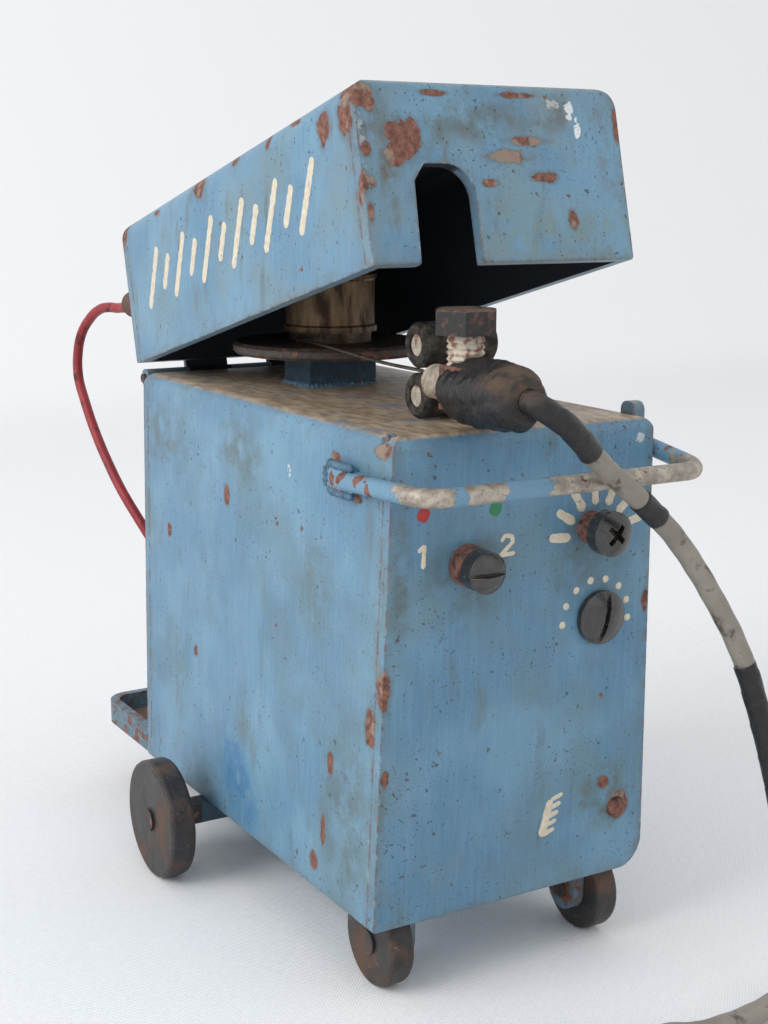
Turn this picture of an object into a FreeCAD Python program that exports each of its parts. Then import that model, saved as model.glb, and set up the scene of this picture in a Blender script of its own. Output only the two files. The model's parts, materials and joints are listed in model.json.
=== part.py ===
import FreeCAD, Part
import math
import os

# A small hand-welded steel wire feeder on four wheels, millimetres.
# Origin: on the floor under the middle of the casing.  +Z up, the front faces -Y.

# Driving dimensions -------------------------------------------------------------------
casing_height = 108.5
casing_underside = 18.0
casing_half_width_low = 36.8
casing_half_width_high = 33.8
casing_half_depth_low = 63.85
casing_half_depth_high = 66.55
plate = 3.0

lid_half_width = 33.55
lid_depth = 133.4
lid_height = 38.6
lid_open_angle = 14.0
lid_corner_y = 71.5
lid_corner_z = 128.5

hinge_y = 70.0
hinge_z = 124.5
hinge_half_length = 32.0
knuckle_radius = 2.5
hinge_pin_radius = 1.2
leaf_thickness = 1.5

rear_wheel_radius = 15.3
rear_wheel_width = 6.6
rear_wheel_face = 51.8
rear_axle_y = 25.8
axle_bar = 5.4
front_wheel_radius = 10.5
front_wheel_width = 6.0
front_wheel_face = 31.4
front_axle_y = -52.5
wheel_bore_radius = 2.06
stub_radius = 2.0

feed_x = -14.3
nip_z = 137.3
guide_z = 135.6
roller_y = -45.2
roller_radius = 5.0
roller_gap = 1.0
roller_axle_radius = 2.5
roller_left = -15.6
roller_right = 3.2
bracket_left = -6.1
bracket_right = -3.5
bracket_half_width = 4.5

neck_rear = -51.0
neck_radius = 3.75
screw_y = -63.0
screw_radius = 4.0
screw_head_low = 146.6
screw_head_high = 151.9
screw_head_flats = 12.4
thread_pitch = 1.25
thread_depth = 0.45

spool_x = 0.0
spool_y = 22.0
flange_radius = 25.0
flange_low = 134.6
flange_thickness = 3.0
drum_radius = 12.0
drum_top = 155.0
drum_foot = 2.6
spindle_radius = 3.0

wire_radius = 0.4
cable_radius = 2.5
red_lead_radius = 1.5
handle_radius = 2.0
handle_left_foot_z = 115.6
handle_right_foot_z = 121.0
handle_left_corner = (-36.2, -84.0, 117.3)
handle_right_corner = (37.6, -79.0, 116.0)
handle_bend = 5.0

tray_depth = 36.0
tray_half_width = 36.2
tray_low = 18.4
tray_rim_height = 6.8
tray_rim_width = 2.6
tray_floor_thickness = 2.0
tray_corner = 7.0
tray_floor_gap = 0.5

running_gap = 0.2
bore_gap = 0.06
wheel_slot_gap = 0.6

# Worked-out places ---------------------------------------------------------------------
casing_top = casing_underside + casing_height
depth_lean = (casing_half_depth_high - casing_half_depth_low) / casing_height
width_lean = (casing_half_width_low - casing_half_width_high) / casing_height
panel_lean_angle = math.degrees(math.atan(depth_lean))
upper_roller_z = nip_z + roller_gap / 2 + roller_radius
lower_roller_z = nip_z - roller_gap / 2 - roller_radius


def vec(x, y, z):
    return FreeCAD.Vector(x, y, z)


def save(name, shape):
    """Write one named piece."""
    os.makedirs("parts", exist_ok=True)
    shape.exportStep("parts/" + name + ".step")


def box(x0, x1, y0, y1, z0, z1):
    return Part.makeBox(x1 - x0, y1 - y0, z1 - z0, vec(x0, y0, z0))


def rod(start, end, radius):
    """A round bar between two points."""
    axis = end - start
    return Part.makeCylinder(radius, axis.Length, start, axis)


def rounded_face(corners, place):
    """A flat face through corners (a, b, radius); place turns (a, b) into a point."""
    edges = []
    points = [vec(a, b, 0) for a, b, radius in corners]
    trims = []
    for i, (a, b, radius) in enumerate(corners):
        here = points[i]
        back = (points[i - 1] - here).normalize()
        ahead = (points[(i + 1) % len(points)] - here).normalize()
        if radius <= 0:
            trims.append((here, None, here))
            continue
        half = back.getAngle(ahead) / 2
        reach = radius / math.tan(half)
        middle = here + (back + ahead).normalize() * (radius / math.sin(half) - radius)
        trims.append((here + back * reach, middle, here + ahead * reach))
    for i, (entry, middle, leave) in enumerate(trims):
        entry3 = place(entry.x, entry.y)
        leave3 = place(leave.x, leave.y)
        if middle is not None:
            edges.append(Part.Arc(entry3, place(middle.x, middle.y), leave3).toShape())
        following = trims[(i + 1) % len(trims)][0]
        following3 = place(following.x, following.y)
        if (following3 - leave3).Length > 1e-6:
            edges.append(Part.makeLine(leave3, following3))
    return Part.Face(Part.Wire(edges))


def prism_along_y(corners, y0, y1):
    """An XZ outline pushed along Y."""
    return rounded_face(corners, lambda a, b: vec(a, y0, b)).extrude(vec(0, y1 - y0, 0))


def prism_along_x(corners, x0, x1):
    """A YZ outline pushed along X."""
    return rounded_face(corners, lambda a, b: vec(x0, a, b)).extrude(vec(x1 - x0, 0, 0))


def prism_along_z(corners, z0, z1):
    """An XY outline pushed along Z."""
    return rounded_face(corners, lambda a, b: vec(a, b, z0)).extrude(vec(0, 0, z1 - z0))


def turned(profile, centre, axis):
    """A solid of revolution: profile is (distance along the axis, radius)."""
    points = [vec(r, 0, h) for h, r in profile]
    wire = Part.makePolygon(points + [points[0]])
    solid = Part.Face(wire).revolve(vec(0, 0, 0), vec(0, 0, 1), 360)
    turn = FreeCAD.Rotation(vec(0, 0, 1), axis)
    solid.Placement = FreeCAD.Placement(centre, turn)
    return solid


def threaded(length, radius):
    """Half profile of a thread drawn as parallel grooves."""
    turns = int(length / thread_pitch)
    profile = []
    for i in range(turns):
        start = i * thread_pitch
        profile.append((start, radius - thread_depth))
        profile.append((start + 0.45 * thread_pitch, radius))
        profile.append((start + 0.6 * thread_pitch, radius))
    profile.append((length, radius - thread_depth))
    return profile


def bent_path(corners, bends):
    """Straight runs joined by arcs: one bend radius for each inner corner."""
    edges = []
    last = corners[0]
    for before, here, after, bend in zip(corners, corners[1:], corners[2:], bends):
        back = (before - here).normalize()
        ahead = (after - here).normalize()
        half = back.getAngle(ahead) / 2
        reach = bend / math.tan(half)
        middle = here + (back + ahead).normalize() * (bend / math.sin(half) - bend)
        edges.append(Part.makeLine(last, here + back * reach))
        edges.append(Part.Arc(here + back * reach, middle, here + ahead * reach).toShape())
        last = here + ahead * reach
    edges.append(Part.makeLine(last, corners[-1]))
    return Part.Wire(edges)


def swept_bar(corners, bends, radius):
    ring = Part.Wire(Part.makeCircle(radius, corners[0], corners[1] - corners[0]))
    return bent_path(corners, bends).makePipeShell([ring], True, True)


def bent_rod(corners, bend, radius):
    """A round bar with the same bend radius at every corner."""
    return swept_bar(corners, [bend] * (len(corners) - 2), radius)


def cord(corners, radius):
    """A soft round cord: each corner is rounded as widely as its neighbours allow."""
    share = 0.46
    bends = []
    for before, here, after in zip(corners, corners[1:], corners[2:]):
        half = (before - here).getAngle(after - here) / 2
        room = min((before - here).Length, (after - here).Length)
        bends.append(share * room * math.tan(half))
    return swept_bar(corners, bends, radius)


def hexagon(centre, flats, height):
    """A six-sided head or nut standing on Z."""
    corner = flats / math.sqrt(3)
    points = []
    for i in range(7):
        angle = math.radians(60 * i)
        points.append(centre + vec(corner * math.cos(angle), corner * math.sin(angle), 0))
    return Part.Face(Part.makePolygon(points)).extrude(vec(0, 0, height))


# Casing --------------------------------------------------------------------------------
def half_width(z):
    return casing_half_width_low - width_lean * (z - casing_underside)


def half_depth(z):
    return casing_half_depth_low + depth_lean * (z - casing_underside)


def casing_outline(inset):
    """XZ section of the folded sheet; the right side is bent, the left bottom is welded."""
    low = casing_underside + inset
    high = casing_top - inset
    return [
        (-half_width(low) + inset, low, max(0.9 - inset, 0)),
        (half_width(low) - inset, low, max(7.5 - inset, 0.5)),
        (half_width(high) - inset, high, max(3.2 - inset, 0.3)),
        (-half_width(high) + inset, high, max(3.6 - inset, 0.3)),
    ]


def casing_side_outline(inset, top_front, top_rear, low_edge):
    """YZ outline between the front and rear faces."""
    low = casing_underside
    high = casing_top
    return [
        (-half_depth(low) + inset, low, low_edge),
        (half_depth(low) - inset, low, low_edge),
        (half_depth(high) - inset, high, top_rear),
        (-half_depth(high) + inset, high, top_front),
    ]


def casing_block():
    """The outside of the whole casing as one block."""
    reach = casing_half_depth_high + 1
    side = casing_half_width_low + 1
    across = prism_along_y(casing_outline(0), -reach, reach)
    along = prism_along_x(casing_side_outline(0, 2.9, 2.5, 0.9), -side, side)
    return across.common(along)


def casing_middle():
    """The space between the inner faces of the front and rear panels."""
    side = casing_half_width_low + 1
    return prism_along_x(casing_side_outline(plate, 0, 0, 0), -side, side)


def wheel_slot(side):
    """The opening in the base plate that the top of a front wheel stands in."""
    inner = front_wheel_face - front_wheel_width - wheel_slot_gap
    outer = front_wheel_face + wheel_slot_gap
    low, high = sorted((side * inner, side * outer))
    rise = casing_underside - front_wheel_radius
    half = math.sqrt(front_wheel_radius ** 2 - rise ** 2) + wheel_slot_gap
    return box(low, high, front_axle_y - half, front_axle_y + half,
               casing_underside - 1, casing_underside + plate + 1)


def casing_wrap(block):
    """Folded sheet: base, two sides and top."""
    hollow = prism_along_y(casing_outline(plate), -casing_half_depth_high, casing_half_depth_high)
    wrap = block.common(casing_middle()).cut(hollow)
    return wrap.cut(wheel_slot(-1)).cut(wheel_slot(1))


def front_point(x, z):
    """A point on the outer face of the front panel."""
    return vec(x, -half_depth(z), z)


def on_front(shape, x, z):
    """Place a piece drawn about the origin, pointing along -Y, on the front panel."""
    shape = shape.copy()
    shape.rotate(vec(0, 0, 0), vec(1, 0, 0), panel_lean_angle)
    shape.translate(front_point(x, z))
    return shape


def end_panels(block):
    ends = block.cut(casing_middle())
    solids = sorted(ends.Solids, key=lambda s: s.CenterOfMass.y)
    return solids[0], solids[-1]


# Control screws on the front panel: place, shank radius, collar length and collar radius
selector = {"x": -15.3, "z": 98.3, "shank": 2.5, "collar": 4.4, "collar_radius": 4.5}
voltage = {"x": 17.2, "z": 103.0, "shank": 2.5, "collar": 5.0, "collar_radius": 3.6}
wire_speed = {"x": 20.8, "z": 81.9, "shank": 2.5, "collar": 0.0, "collar_radius": 0.0}
control_screws = [selector, voltage, wire_speed]
nut_flats = 8.0
nut_height = 4.0
screw_tail = 1.5


def front_panel(front):
    for screw in control_screws:
        hole = rod(vec(0, -2, 0), vec(0, plate + 2, 0), screw["shank"] + bore_gap)
        front = front.cut(on_front(hole, screw["x"], screw["z"]))
    pin_hole = rod(vec(0, -2, 0), vec(0, plate + 2, 0), earth_stub_radius)
    return front.cut(on_front(pin_hole, earth_x, earth_z))


def screw_shank(screw):
    """Plain shank from under the head, through the panel and the nut."""
    head_seat = -screw["collar"] - running_gap
    tail = plate + running_gap + nut_height + screw_tail
    return rod(vec(0, head_seat - 0.5, 0), vec(0, tail, 0), screw["shank"])


def slot_cutter(width, reach, depth, face_y, angle):
    """A straight screwdriver slot sunk into a head whose face is at face_y."""
    cutter = box(-reach, reach, face_y - 1, face_y + depth, -width / 2, width / 2)
    cutter.rotate(vec(0, 0, 0), vec(0, 1, 0), angle)
    return cutter


def domed_head(seat_y, radius, side, rise):
    """A round head on -Y: straight side, then a shallow dome."""
    arc_radius = (radius * radius + rise * rise) / (2 * rise)
    crown = seat_y - side - rise
    body = rod(vec(0, seat_y, 0), vec(0, seat_y - side - rise, 0), radius)
    ball = Part.makeSphere(arc_radius, vec(0, crown + arc_radius, 0))
    return body.common(ball)


def selector_screw():
    seat = -selector["collar"] - running_gap
    head = domed_head(seat, 4.5, 3.6, 1.8)
    slot = slot_cutter(1.1, 5, 1.9, seat - 5.4, 0)
    return on_front(head.fuse(screw_shank(selector)).cut(slot), selector["x"], selector["z"])


def voltage_screw():
    seat = -voltage["collar"] - running_gap
    head = domed_head(seat, 5.0, 3.2, 1.4)
    recess = slot_cutter(1.3, 2.6, 2.4, seat - 4.6, 40)
    recess = recess.fuse(slot_cutter(1.3, 2.6, 2.4, seat - 4.6, 130))
    return on_front(head.fuse(screw_shank(voltage)).cut(recess), voltage["x"], voltage["z"])


def wire_speed_screw():
    seat = -running_gap
    head = domed_head(seat, 6.15, 1.4, 1.7)
    slot = slot_cutter(1.4, 7, 1.5, seat - 3.1, -78)
    return on_front(head.fuse(screw_shank(wire_speed)).cut(slot), wire_speed["x"], wire_speed["z"])


def screw_collar(screw):
    """Short rusty tube standing on the panel under a screw head."""
    outer = rod(vec(0, 0, 0), vec(0, -screw["collar"], 0), screw["collar_radius"])
    bore = rod(vec(0, 1, 0), vec(0, -screw["collar"] - 1, 0), screw["shank"] + bore_gap)
    return on_front(outer.cut(bore), screw["x"], screw["z"])


def screw_nut(screw):
    """Lock nut inside the casing; it turns with its screw."""
    nut = hexagon(vec(0, 0, 0), nut_flats, nut_height)
    nut.rotate(vec(0, 0, 0), vec(1, 0, 0), -90)
    nut.translate(vec(0, plate + running_gap, 0))
    bore = rod(vec(0, 0, 0), vec(0, 20, 0), screw["shank"])
    return on_front(nut.cut(bore), screw["x"], screw["z"])


earth_x = 27.6
earth_z = 35.0
earth_stub_radius = 2.0


def earth_terminal():
    """A stub pin in a low round weld pad."""
    pad = domed_head(0, 5.6, 0.3, 1.3)
    stub = rod(vec(0, plate, 0), vec(0, -3.2, 0), earth_stub_radius)
    return on_front(pad.fuse(stub), earth_x, earth_z)


def lid_stop_lug(block):
    """A rounded tab on the right top edge that keeps the lid from sliding off."""
    length = 5.0
    rise = 2.8
    y = -60.3
    x = casing_half_width_high - 0.9
    low = casing_top - 4.0
    high = casing_top + rise
    outline = [
        (y - length / 2, low, 0),
        (y + length / 2, low, 0),
        (y + length / 2, high, 2.0),
        (y - length / 2, high, 2.0),
    ]
    return prism_along_x(outline, x - 1.5, x + 1.3).cut(block)


# Handle --------------------------------------------------------------------------------
def carry_handle(block):
    """A bent rod, a little askew; its flattened ends are welded to the two sides."""
    arm_end = -50.0
    left_z = handle_left_foot_z
    right_z = handle_right_foot_z
    corners = [
        vec(-half_width(left_z) - handle_radius, arm_end, left_z),
        vec(*handle_left_corner),
        vec(*handle_right_corner),
        vec(half_width(right_z) + handle_radius, arm_end, right_z),
    ]
    rail = bent_rod(corners, handle_bend, handle_radius)
    rail = rail.fuse(handle_foot(-1, left_z)).fuse(handle_foot(1, right_z))
    return rail.cut(block)


def handle_foot(side, z):
    """The hammered-flat end of the rod against the casing side."""
    low = z - 3.0
    high = z + 3.0
    outline = [
        (-55.0, low + 1.0, 1.5),
        (-42.5, low, 2.6),
        (-42.5, high, 2.6),
        (-55.0, high - 1.0, 1.5),
    ]
    inner = side * (half_width(z) - 1.0)
    outer = side * (half_width(z) + 2.3)
    return prism_along_x(outline, min(inner, outer), max(inner, outer))


# Wheels and axles ----------------------------------------------------------------------
def wheel(outer_face, side, y, radius, width):
    """A plain turned disc with eased rims and a bore."""
    ease = 1.0
    profile = [
        (0, wheel_bore_radius),
        (0, radius - ease),
        (0.3 * ease, radius - 0.3 * ease),
        (ease, radius),
        (width - ease, radius),
        (width - 0.3 * ease, radius - 0.3 * ease),
        (width, radius - ease),
        (width, wheel_bore_radius),
    ]
    centre = vec(side * (outer_face - width), y, radius)
    return turned(profile, centre, vec(side, 0, 0))


def peened_end(face, side, y, z):
    """A low hammered rivet head just outside a wheel."""
    rise = 0.5
    start = vec(side * (face + running_gap), y, z)
    return rod(start, start + vec(side * rise, 0, 0), stub_radius + 0.9)


def rear_axle():
    """A square bar welded under the casing, with a round stub for each wheel."""
    z = casing_underside - axle_bar / 2
    shoulder = rear_wheel_face - rear_wheel_width - running_gap
    half = axle_bar / 2
    bar = box(-shoulder, shoulder, rear_axle_y - half, rear_axle_y + half, z - half, z + half)
    for side in (-1, 1):
        start = vec(side * (shoulder - 1), rear_axle_y, z)
        end = vec(side * (rear_wheel_face + running_gap), rear_axle_y, z)
        bar = bar.fuse(rod(start, end, stub_radius))
        bar = bar.fuse(peened_end(rear_wheel_face, side, rear_axle_y, z))
    return bar


tab_thickness = 3.0
tab_half_width = 5.0


def front_wheel_tab(side):
    """A plate hanging from the underside on the inner side of a front wheel."""
    z = front_wheel_radius
    outer = front_wheel_face - front_wheel_width - running_gap
    inner = outer - tab_thickness
    outline = [
        (front_axle_y - tab_half_width, casing_underside, 0),
        (front_axle_y + tab_half_width, casing_underside, 0),
        (front_axle_y + tab_half_width, z - tab_half_width, tab_half_width - 0.01),
        (front_axle_y - tab_half_width, z - tab_half_width, tab_half_width - 0.01),
    ]
    low, high = sorted((side * inner, side * outer))
    tab = prism_along_x(outline, low, high)
    bore = rod(vec(low - 1, front_axle_y, z), vec(high + 1, front_axle_y, z), stub_radius)
    return tab.cut(bore)


def front_wheel_pin(side):
    """A riveted pin through a tab and its wheel."""
    z = front_wheel_radius
    inner = front_wheel_face - front_wheel_width - running_gap - tab_thickness
    start = vec(side * (inner - 0.6), front_axle_y, z)
    end = vec(side * (front_wheel_face + running_gap), front_axle_y, z)
    return rod(start, end, stub_radius).fuse(peened_end(front_wheel_face, side, front_axle_y, z))


# Gas bottle tray behind the casing -------------------------------------------------------
def tray_outline(inset, corner, front):
    rear = half_depth(tray_low) + tray_depth
    side = tray_half_width - inset
    return [
        (-side, front, 0),
        (side, front, 0),
        (side, rear - inset, corner),
        (-side, rear - inset, corner),
    ]


def tray_rim(block):
    """A bent bar welded to the rear panel at both ends."""
    high = tray_low + tray_rim_height
    front = half_depth(tray_low) - plate
    inner_corner = tray_corner - tray_rim_width
    outer = prism_along_z(tray_outline(0, tray_corner, front), tray_low, high)
    inner = prism_along_z(tray_outline(tray_rim_width, inner_corner, front), tray_low, high)
    return outer.cut(inner).cut(block)


def tray_floor():
    """A plate held by the rim, just short of the rear panel that leans out over it."""
    front = half_depth(tray_low) + tray_floor_gap
    inner = tray_outline(tray_rim_width, tray_corner - tray_rim_width, front)
    return prism_along_z(inner, tray_low, tray_low + tray_floor_thickness)


# Lid -----------------------------------------------------------------------------------
def place_lid(shape):
    """Turn a piece from the lid's own frame (rear bottom edge at the origin) to rest."""
    shape = shape.copy()
    shape.rotate(vec(0, 0, 0), vec(1, 0, 0), -lid_open_angle)
    shape.translate(vec(0, lid_corner_y, lid_corner_z))
    return shape


def lid_section(inset):
    """XZ section: an upside-down channel."""
    side = lid_half_width - inset
    high = lid_height - inset
    low = -1.0 if inset else 0.0
    return [
        (-side, low, 0),
        (side, low, 0),
        (side, high, 5.5 - inset),
        (-side, high, 4.6 - inset),
    ]


def lid_block():
    side = lid_half_width + 1
    across = prism_along_y(lid_section(0), -lid_depth - 1, 1)
    along = prism_along_x([
        (-lid_depth, 0, 0.8),
        (0, 0, 0.8),
        (0, lid_height, 2.2),
        (-lid_depth, lid_height, 2.4),
    ], -side, side)
    return across.common(along)


def lid_middle():
    side = lid_half_width + 1
    return box(-side, side, -lid_depth + plate, -plate, -1, lid_height + 1)


def lid_shell(block):
    hollow = prism_along_y(lid_section(plate), -lid_depth, 0)
    return block.common(lid_middle()).cut(hollow)


def lid_panels(block):
    """Front and rear end plates of the lid."""
    ends = block.cut(lid_middle())
    solids = sorted(ends.Solids, key=lambda s: s.CenterOfMass.y)
    return solids[0], solids[-1]


def arch_cutter():
    """The hand-cut opening that the wire guide passes through."""
    left = feed_x - 7.7
    right = feed_x + 7.9
    outline = [
        (left, -2, 0),
        (right, -2, 0),
        (right, 21.0, 7.2),
        (left + 3.4, 21.0, 1.0),
        (left + 0.7, 17.4, 1.5),
    ]
    return prism_along_y(outline, -lid_depth - 2, -lid_depth + plate + 2)


# Hinge ---------------------------------------------------------------------------------
knuckle_count = 5
knuckle_gap = 0.15


def knuckle_span(index):
    """The x range of one knuckle, left to right."""
    pitch = 2 * hinge_half_length / knuckle_count
    start = -hinge_half_length + index * pitch
    return start + knuckle_gap / 2, start + pitch - knuckle_gap / 2


def casing_hinge_leaf():
    """Leaf on the rear panel, with the outer and middle knuckles tight on the pin."""
    def leaf_strip(x0, x1, low, high):
        outline = [
            (half_depth(low), low, 0),
            (half_depth(low) + leaf_thickness, low, 0),
            (half_depth(high) + leaf_thickness, high, 0),
            (half_depth(high), high, 0),
        ]
        return prism_along_x(outline, x0, x1)
    leaf = leaf_strip(-hinge_half_length, hinge_half_length, hinge_z - 15, hinge_z - 4.6)
    for index in range(0, knuckle_count, 2):
        x0, x1 = knuckle_span(index)
        leaf = leaf.fuse(leaf_strip(x0, x1, hinge_z - 6, hinge_z - 0.6))
        leaf = leaf.fuse(rod(vec(x0, hinge_y, hinge_z), vec(x1, hinge_y, hinge_z), knuckle_radius))
    reach = hinge_half_length + 1
    bore = rod(vec(-reach, hinge_y, hinge_z), vec(reach, hinge_y, hinge_z), hinge_pin_radius)
    return leaf.cut(bore)


def lid_hinge_leaf():
    """Leaf on the lid's rear plate, drawn in the lid's own frame."""
    turn = math.radians(lid_open_angle)
    dy = hinge_y - lid_corner_y
    dz = hinge_z - lid_corner_z
    pin_y = dy * math.cos(turn) - dz * math.sin(turn)
    pin_z = dy * math.sin(turn) + dz * math.cos(turn)
    leaf = box(-hinge_half_length, hinge_half_length, 0, leaf_thickness, 1.0, 12.0)
    for index in range(1, knuckle_count, 2):
        x0, x1 = knuckle_span(index)
        leaf = leaf.fuse(box(x0, x1, 0, leaf_thickness, pin_z, 2.0))
        leaf = leaf.fuse(rod(vec(x0, pin_y, pin_z), vec(x1, pin_y, pin_z), knuckle_radius))
    reach = hinge_half_length + 1
    bore = rod(vec(-reach, pin_y, pin_z), vec(reach, pin_y, pin_z), hinge_pin_radius + bore_gap)
    return leaf.cut(bore)


def hinge_pin():
    reach = hinge_half_length + 0.8
    return rod(vec(-reach, hinge_y, hinge_z), vec(reach, hinge_y, hinge_z), hinge_pin_radius)


# Wire feed -----------------------------------------------------------------------------
def roller_tyre(x0, x1, z):
    """A rubber roll with eased rims, tight on its axle."""
    ease = 0.8
    width = x1 - x0
    profile = [
        (0, roller_axle_radius),
        (0, roller_radius - ease),
        (ease, roller_radius),
        (width - ease, roller_radius),
        (width, roller_radius - ease),
        (width, roller_axle_radius),
    ]
    return turned(profile, vec(x0, roller_y, z), vec(1, 0, 0))


def roller_axle(z):
    start = vec(roller_left + 0.5, roller_y, z)
    end = vec(roller_right + 0.5, roller_y, z)
    return rod(start, end, roller_axle_radius)


def feed_bracket():
    """An upright plate between the rolls that carries both axles."""
    high = upper_roller_z + roller_radius + 0.4
    outline = [
        (roller_y - bracket_half_width, casing_top, 0),
        (roller_y + bracket_half_width, casing_top, 0),
        (roller_y + bracket_half_width, high, 3.0),
        (roller_y - bracket_half_width, high, 3.0),
    ]
    shape = prism_along_x(outline, bracket_left, bracket_right)
    for z in (upper_roller_z, lower_roller_z):
        start = vec(bracket_left - 1, roller_y, z)
        end = vec(bracket_right + 1, roller_y, z)
        shape = shape.cut(rod(start, end, roller_axle_radius + bore_gap))
    return shape


block_rear = -60.0
block_front = -70.0
block_half = 4.6
block_top = guide_z + block_half
wire_bore_radius = 0.8
neck_seat = 1.5
screw_sink = 0.6


def wire_neck():
    """A hollow threaded stub that the wire enters."""
    length = neck_rear - (block_rear - neck_seat)
    profile = threaded(length, neck_radius)
    profile = [(0, wire_bore_radius)] + profile + [(length, wire_bore_radius)]
    return turned(profile, vec(feed_x, neck_rear, guide_z), vec(0, -1, 0))


def guide_block():
    """Steel block under the tape: tapped for the neck and the pressure screw."""
    block = box(feed_x - block_half, feed_x + block_half, block_front, block_rear,
                guide_z - block_half, block_top)
    neck_hole = rod(vec(feed_x, block_rear + 1, guide_z),
                    vec(feed_x, block_rear - neck_seat, guide_z), neck_radius)
    wire_hole = rod(vec(feed_x, block_rear + 1, guide_z),
                    vec(feed_x, block_front - 1, guide_z), wire_bore_radius)
    seat = rod(vec(feed_x, screw_y, block_top - screw_sink - running_gap),
               vec(feed_x, screw_y, block_top + 1), screw_radius + bore_gap)
    return block.cut(neck_hole).cut(wire_hole).cut(seat)


def pressure_screw():
    """A hexagon bolt standing head up in the guide block."""
    low = block_top - screw_sink
    shank = turned([(0, 0)] + threaded(screw_head_low - low, screw_radius) +
                   [(screw_head_low - low, 0)], vec(feed_x, screw_y, low), vec(0, 0, 1))
    height = screw_head_high - screw_head_low
    head = hexagon(vec(feed_x, screw_y, screw_head_low), screw_head_flats, height)
    head.rotate(vec(feed_x, screw_y, 0), vec(0, 0, 1), -4)
    bevel = turned([(-1, 0), (-1, 9.2), (height - 1.1, 9.2), (height, 6.1), (height, 0)],
                   vec(feed_x, screw_y, screw_head_low), vec(0, 0, 1))
    return head.common(bevel).fuse(shank)


def tape_wrap():
    """Wound insulating tape round the guide block, tapering onto the cable."""
    profile = [
        (0.0, 4.4), (1.0, 5.7), (5.0, 6.9), (17.0, 7.1),
        (23.5, 6.2), (26.0, 4.4), (26.0, 0.0), (0.0, 0.0),
    ]
    start = vec(feed_x, block_rear + 0.4, guide_z - 0.5)
    wrap = turned(profile, start, vec(0, -1, 0))
    grow = 0.1
    inside = box(feed_x - block_half - grow, feed_x + block_half + grow,
                 block_front - grow, block_rear + 5,
                 guide_z - block_half - grow, block_top + grow)
    bolt = rod(vec(feed_x, screw_y, guide_z), vec(feed_x, screw_y, guide_z + 12),
               screw_radius + 0.3)
    cable_bore = rod(vec(feed_x, block_front + 1, guide_z - 0.6),
                     vec(feed_x, block_front - 20, guide_z - 0.6), cable_radius + 0.4)
    return wrap.cut(inside).cut(bolt).cut(cable_bore)


def cable_points():
    """Corners of the torch cable, from the guide block down to the floor."""
    return [
        vec(feed_x, block_front, guide_z - 0.6),
        vec(feed_x, -88.3, guide_z - 0.6),
        vec(-7.3, -90.0, 130.2),
        vec(2.7, -87.2, 121.4),
        vec(15.1, -85.0, 112.6),
        vec(24.9, -84.2, 104.5),
        vec(33.0, -85.0, 94.1),
        vec(42.3, -88.8, 76.9),
        vec(46.6, -94.5, 54.7),
        vec(49.0, -99.0, 34.0),
        vec(48.0, -105.0, 13.0),
        vec(41.0, -109.4, 4.0),
        vec(28.0, -110.4, 2.7),
        vec(15.0, -110.2, 2.9),
        vec(8.0, -109.2, 4.6),
        vec(1.0, -109.2, 4.6),
    ]


def torch_cable():
    return cord(cable_points(), cable_radius)


torch_direction = vec(-1, 0, 0)
torch_start = cable_points()[-1]
grip_length = 30.0


def torch_grip():
    """The torch handle, a stout tapered sleeve lying on the floor."""
    profile = [
        (0, 0), (0, 3.2), (1.2, 4.1), (22.0, 4.4), (27.0, 4.0), (grip_length, 3.0),
        (grip_length, 0),
    ]
    return turned(profile, torch_start, torch_direction)


def torch_nozzle():
    """Bent swan neck and nozzle of the torch."""
    start = torch_start + torch_direction * grip_length
    middle = start + torch_direction * 7
    end = start + torch_direction * 13 + vec(0, 3.0, -0.6)
    aim = (end - middle).normalize()
    neck = cord([start, middle, end], 1.7)
    cup = turned([(0, 0), (0, 2.4), (8.5, 2.6), (8.5, 1.8), (3.0, 1.8), (3.0, 0)],
                 end - aim, aim)
    return neck.fuse(cup)


# Spool ---------------------------------------------------------------------------------
def spool_pedestal():
    """A block welded on the casing top under the spool."""
    half_x = 9.6
    half_y = 7.0
    high = flange_low - running_gap
    block = box(spool_x - half_x, spool_x + half_x, spool_y - half_y, spool_y + half_y,
                casing_top, high)
    bore = rod(vec(spool_x, spool_y, casing_top + 1), vec(spool_x, spool_y, high + 1),
               spindle_radius)
    return block.cut(bore)


def spool_spindle():
    """A headed pin through the spool into the pedestal."""
    centre = vec(spool_x, spool_y, casing_top + 1)
    reach = drum_top + running_gap - casing_top - 1
    profile = [
        (0, 0), (0, spindle_radius), (reach, spindle_radius), (reach, 5.5),
        (reach + 1.6, 5.2), (reach + 2.6, 3.6), (reach + 3.0, 0),
    ]
    return turned(profile, centre, vec(0, 0, 1))


def spool_flange():
    profile = [
        (0, spindle_radius + bore_gap), (0, flange_radius - 0.8), (0.8, flange_radius),
        (flange_thickness - 0.8, flange_radius), (flange_thickness, flange_radius - 0.8),
        (flange_thickness, spindle_radius + bore_gap),
    ]
    return turned(profile, vec(spool_x, spool_y, flange_low), vec(0, 0, 1))


def spool_drum():
    """The tin that stands for the wound wire: a closed can with a bead at each end."""
    low = flange_low + flange_thickness
    height = drum_top - low
    bead = 0.5
    foot_radius = drum_radius - 1.4
    profile = [
        (0, spindle_radius + bore_gap), (0, foot_radius), (drum_foot, foot_radius),
        (drum_foot, drum_radius), (drum_foot + 1.4, drum_radius),
        (drum_foot + 1.9, drum_radius - bead), (height - 1.9, drum_radius - bead),
        (height - 1.4, drum_radius), (height - 0.4, drum_radius), (height, drum_radius - 0.4),
        (height, spindle_radius + bore_gap),
    ]
    return turned(profile, vec(spool_x, spool_y, low), vec(0, 0, 1))


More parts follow.
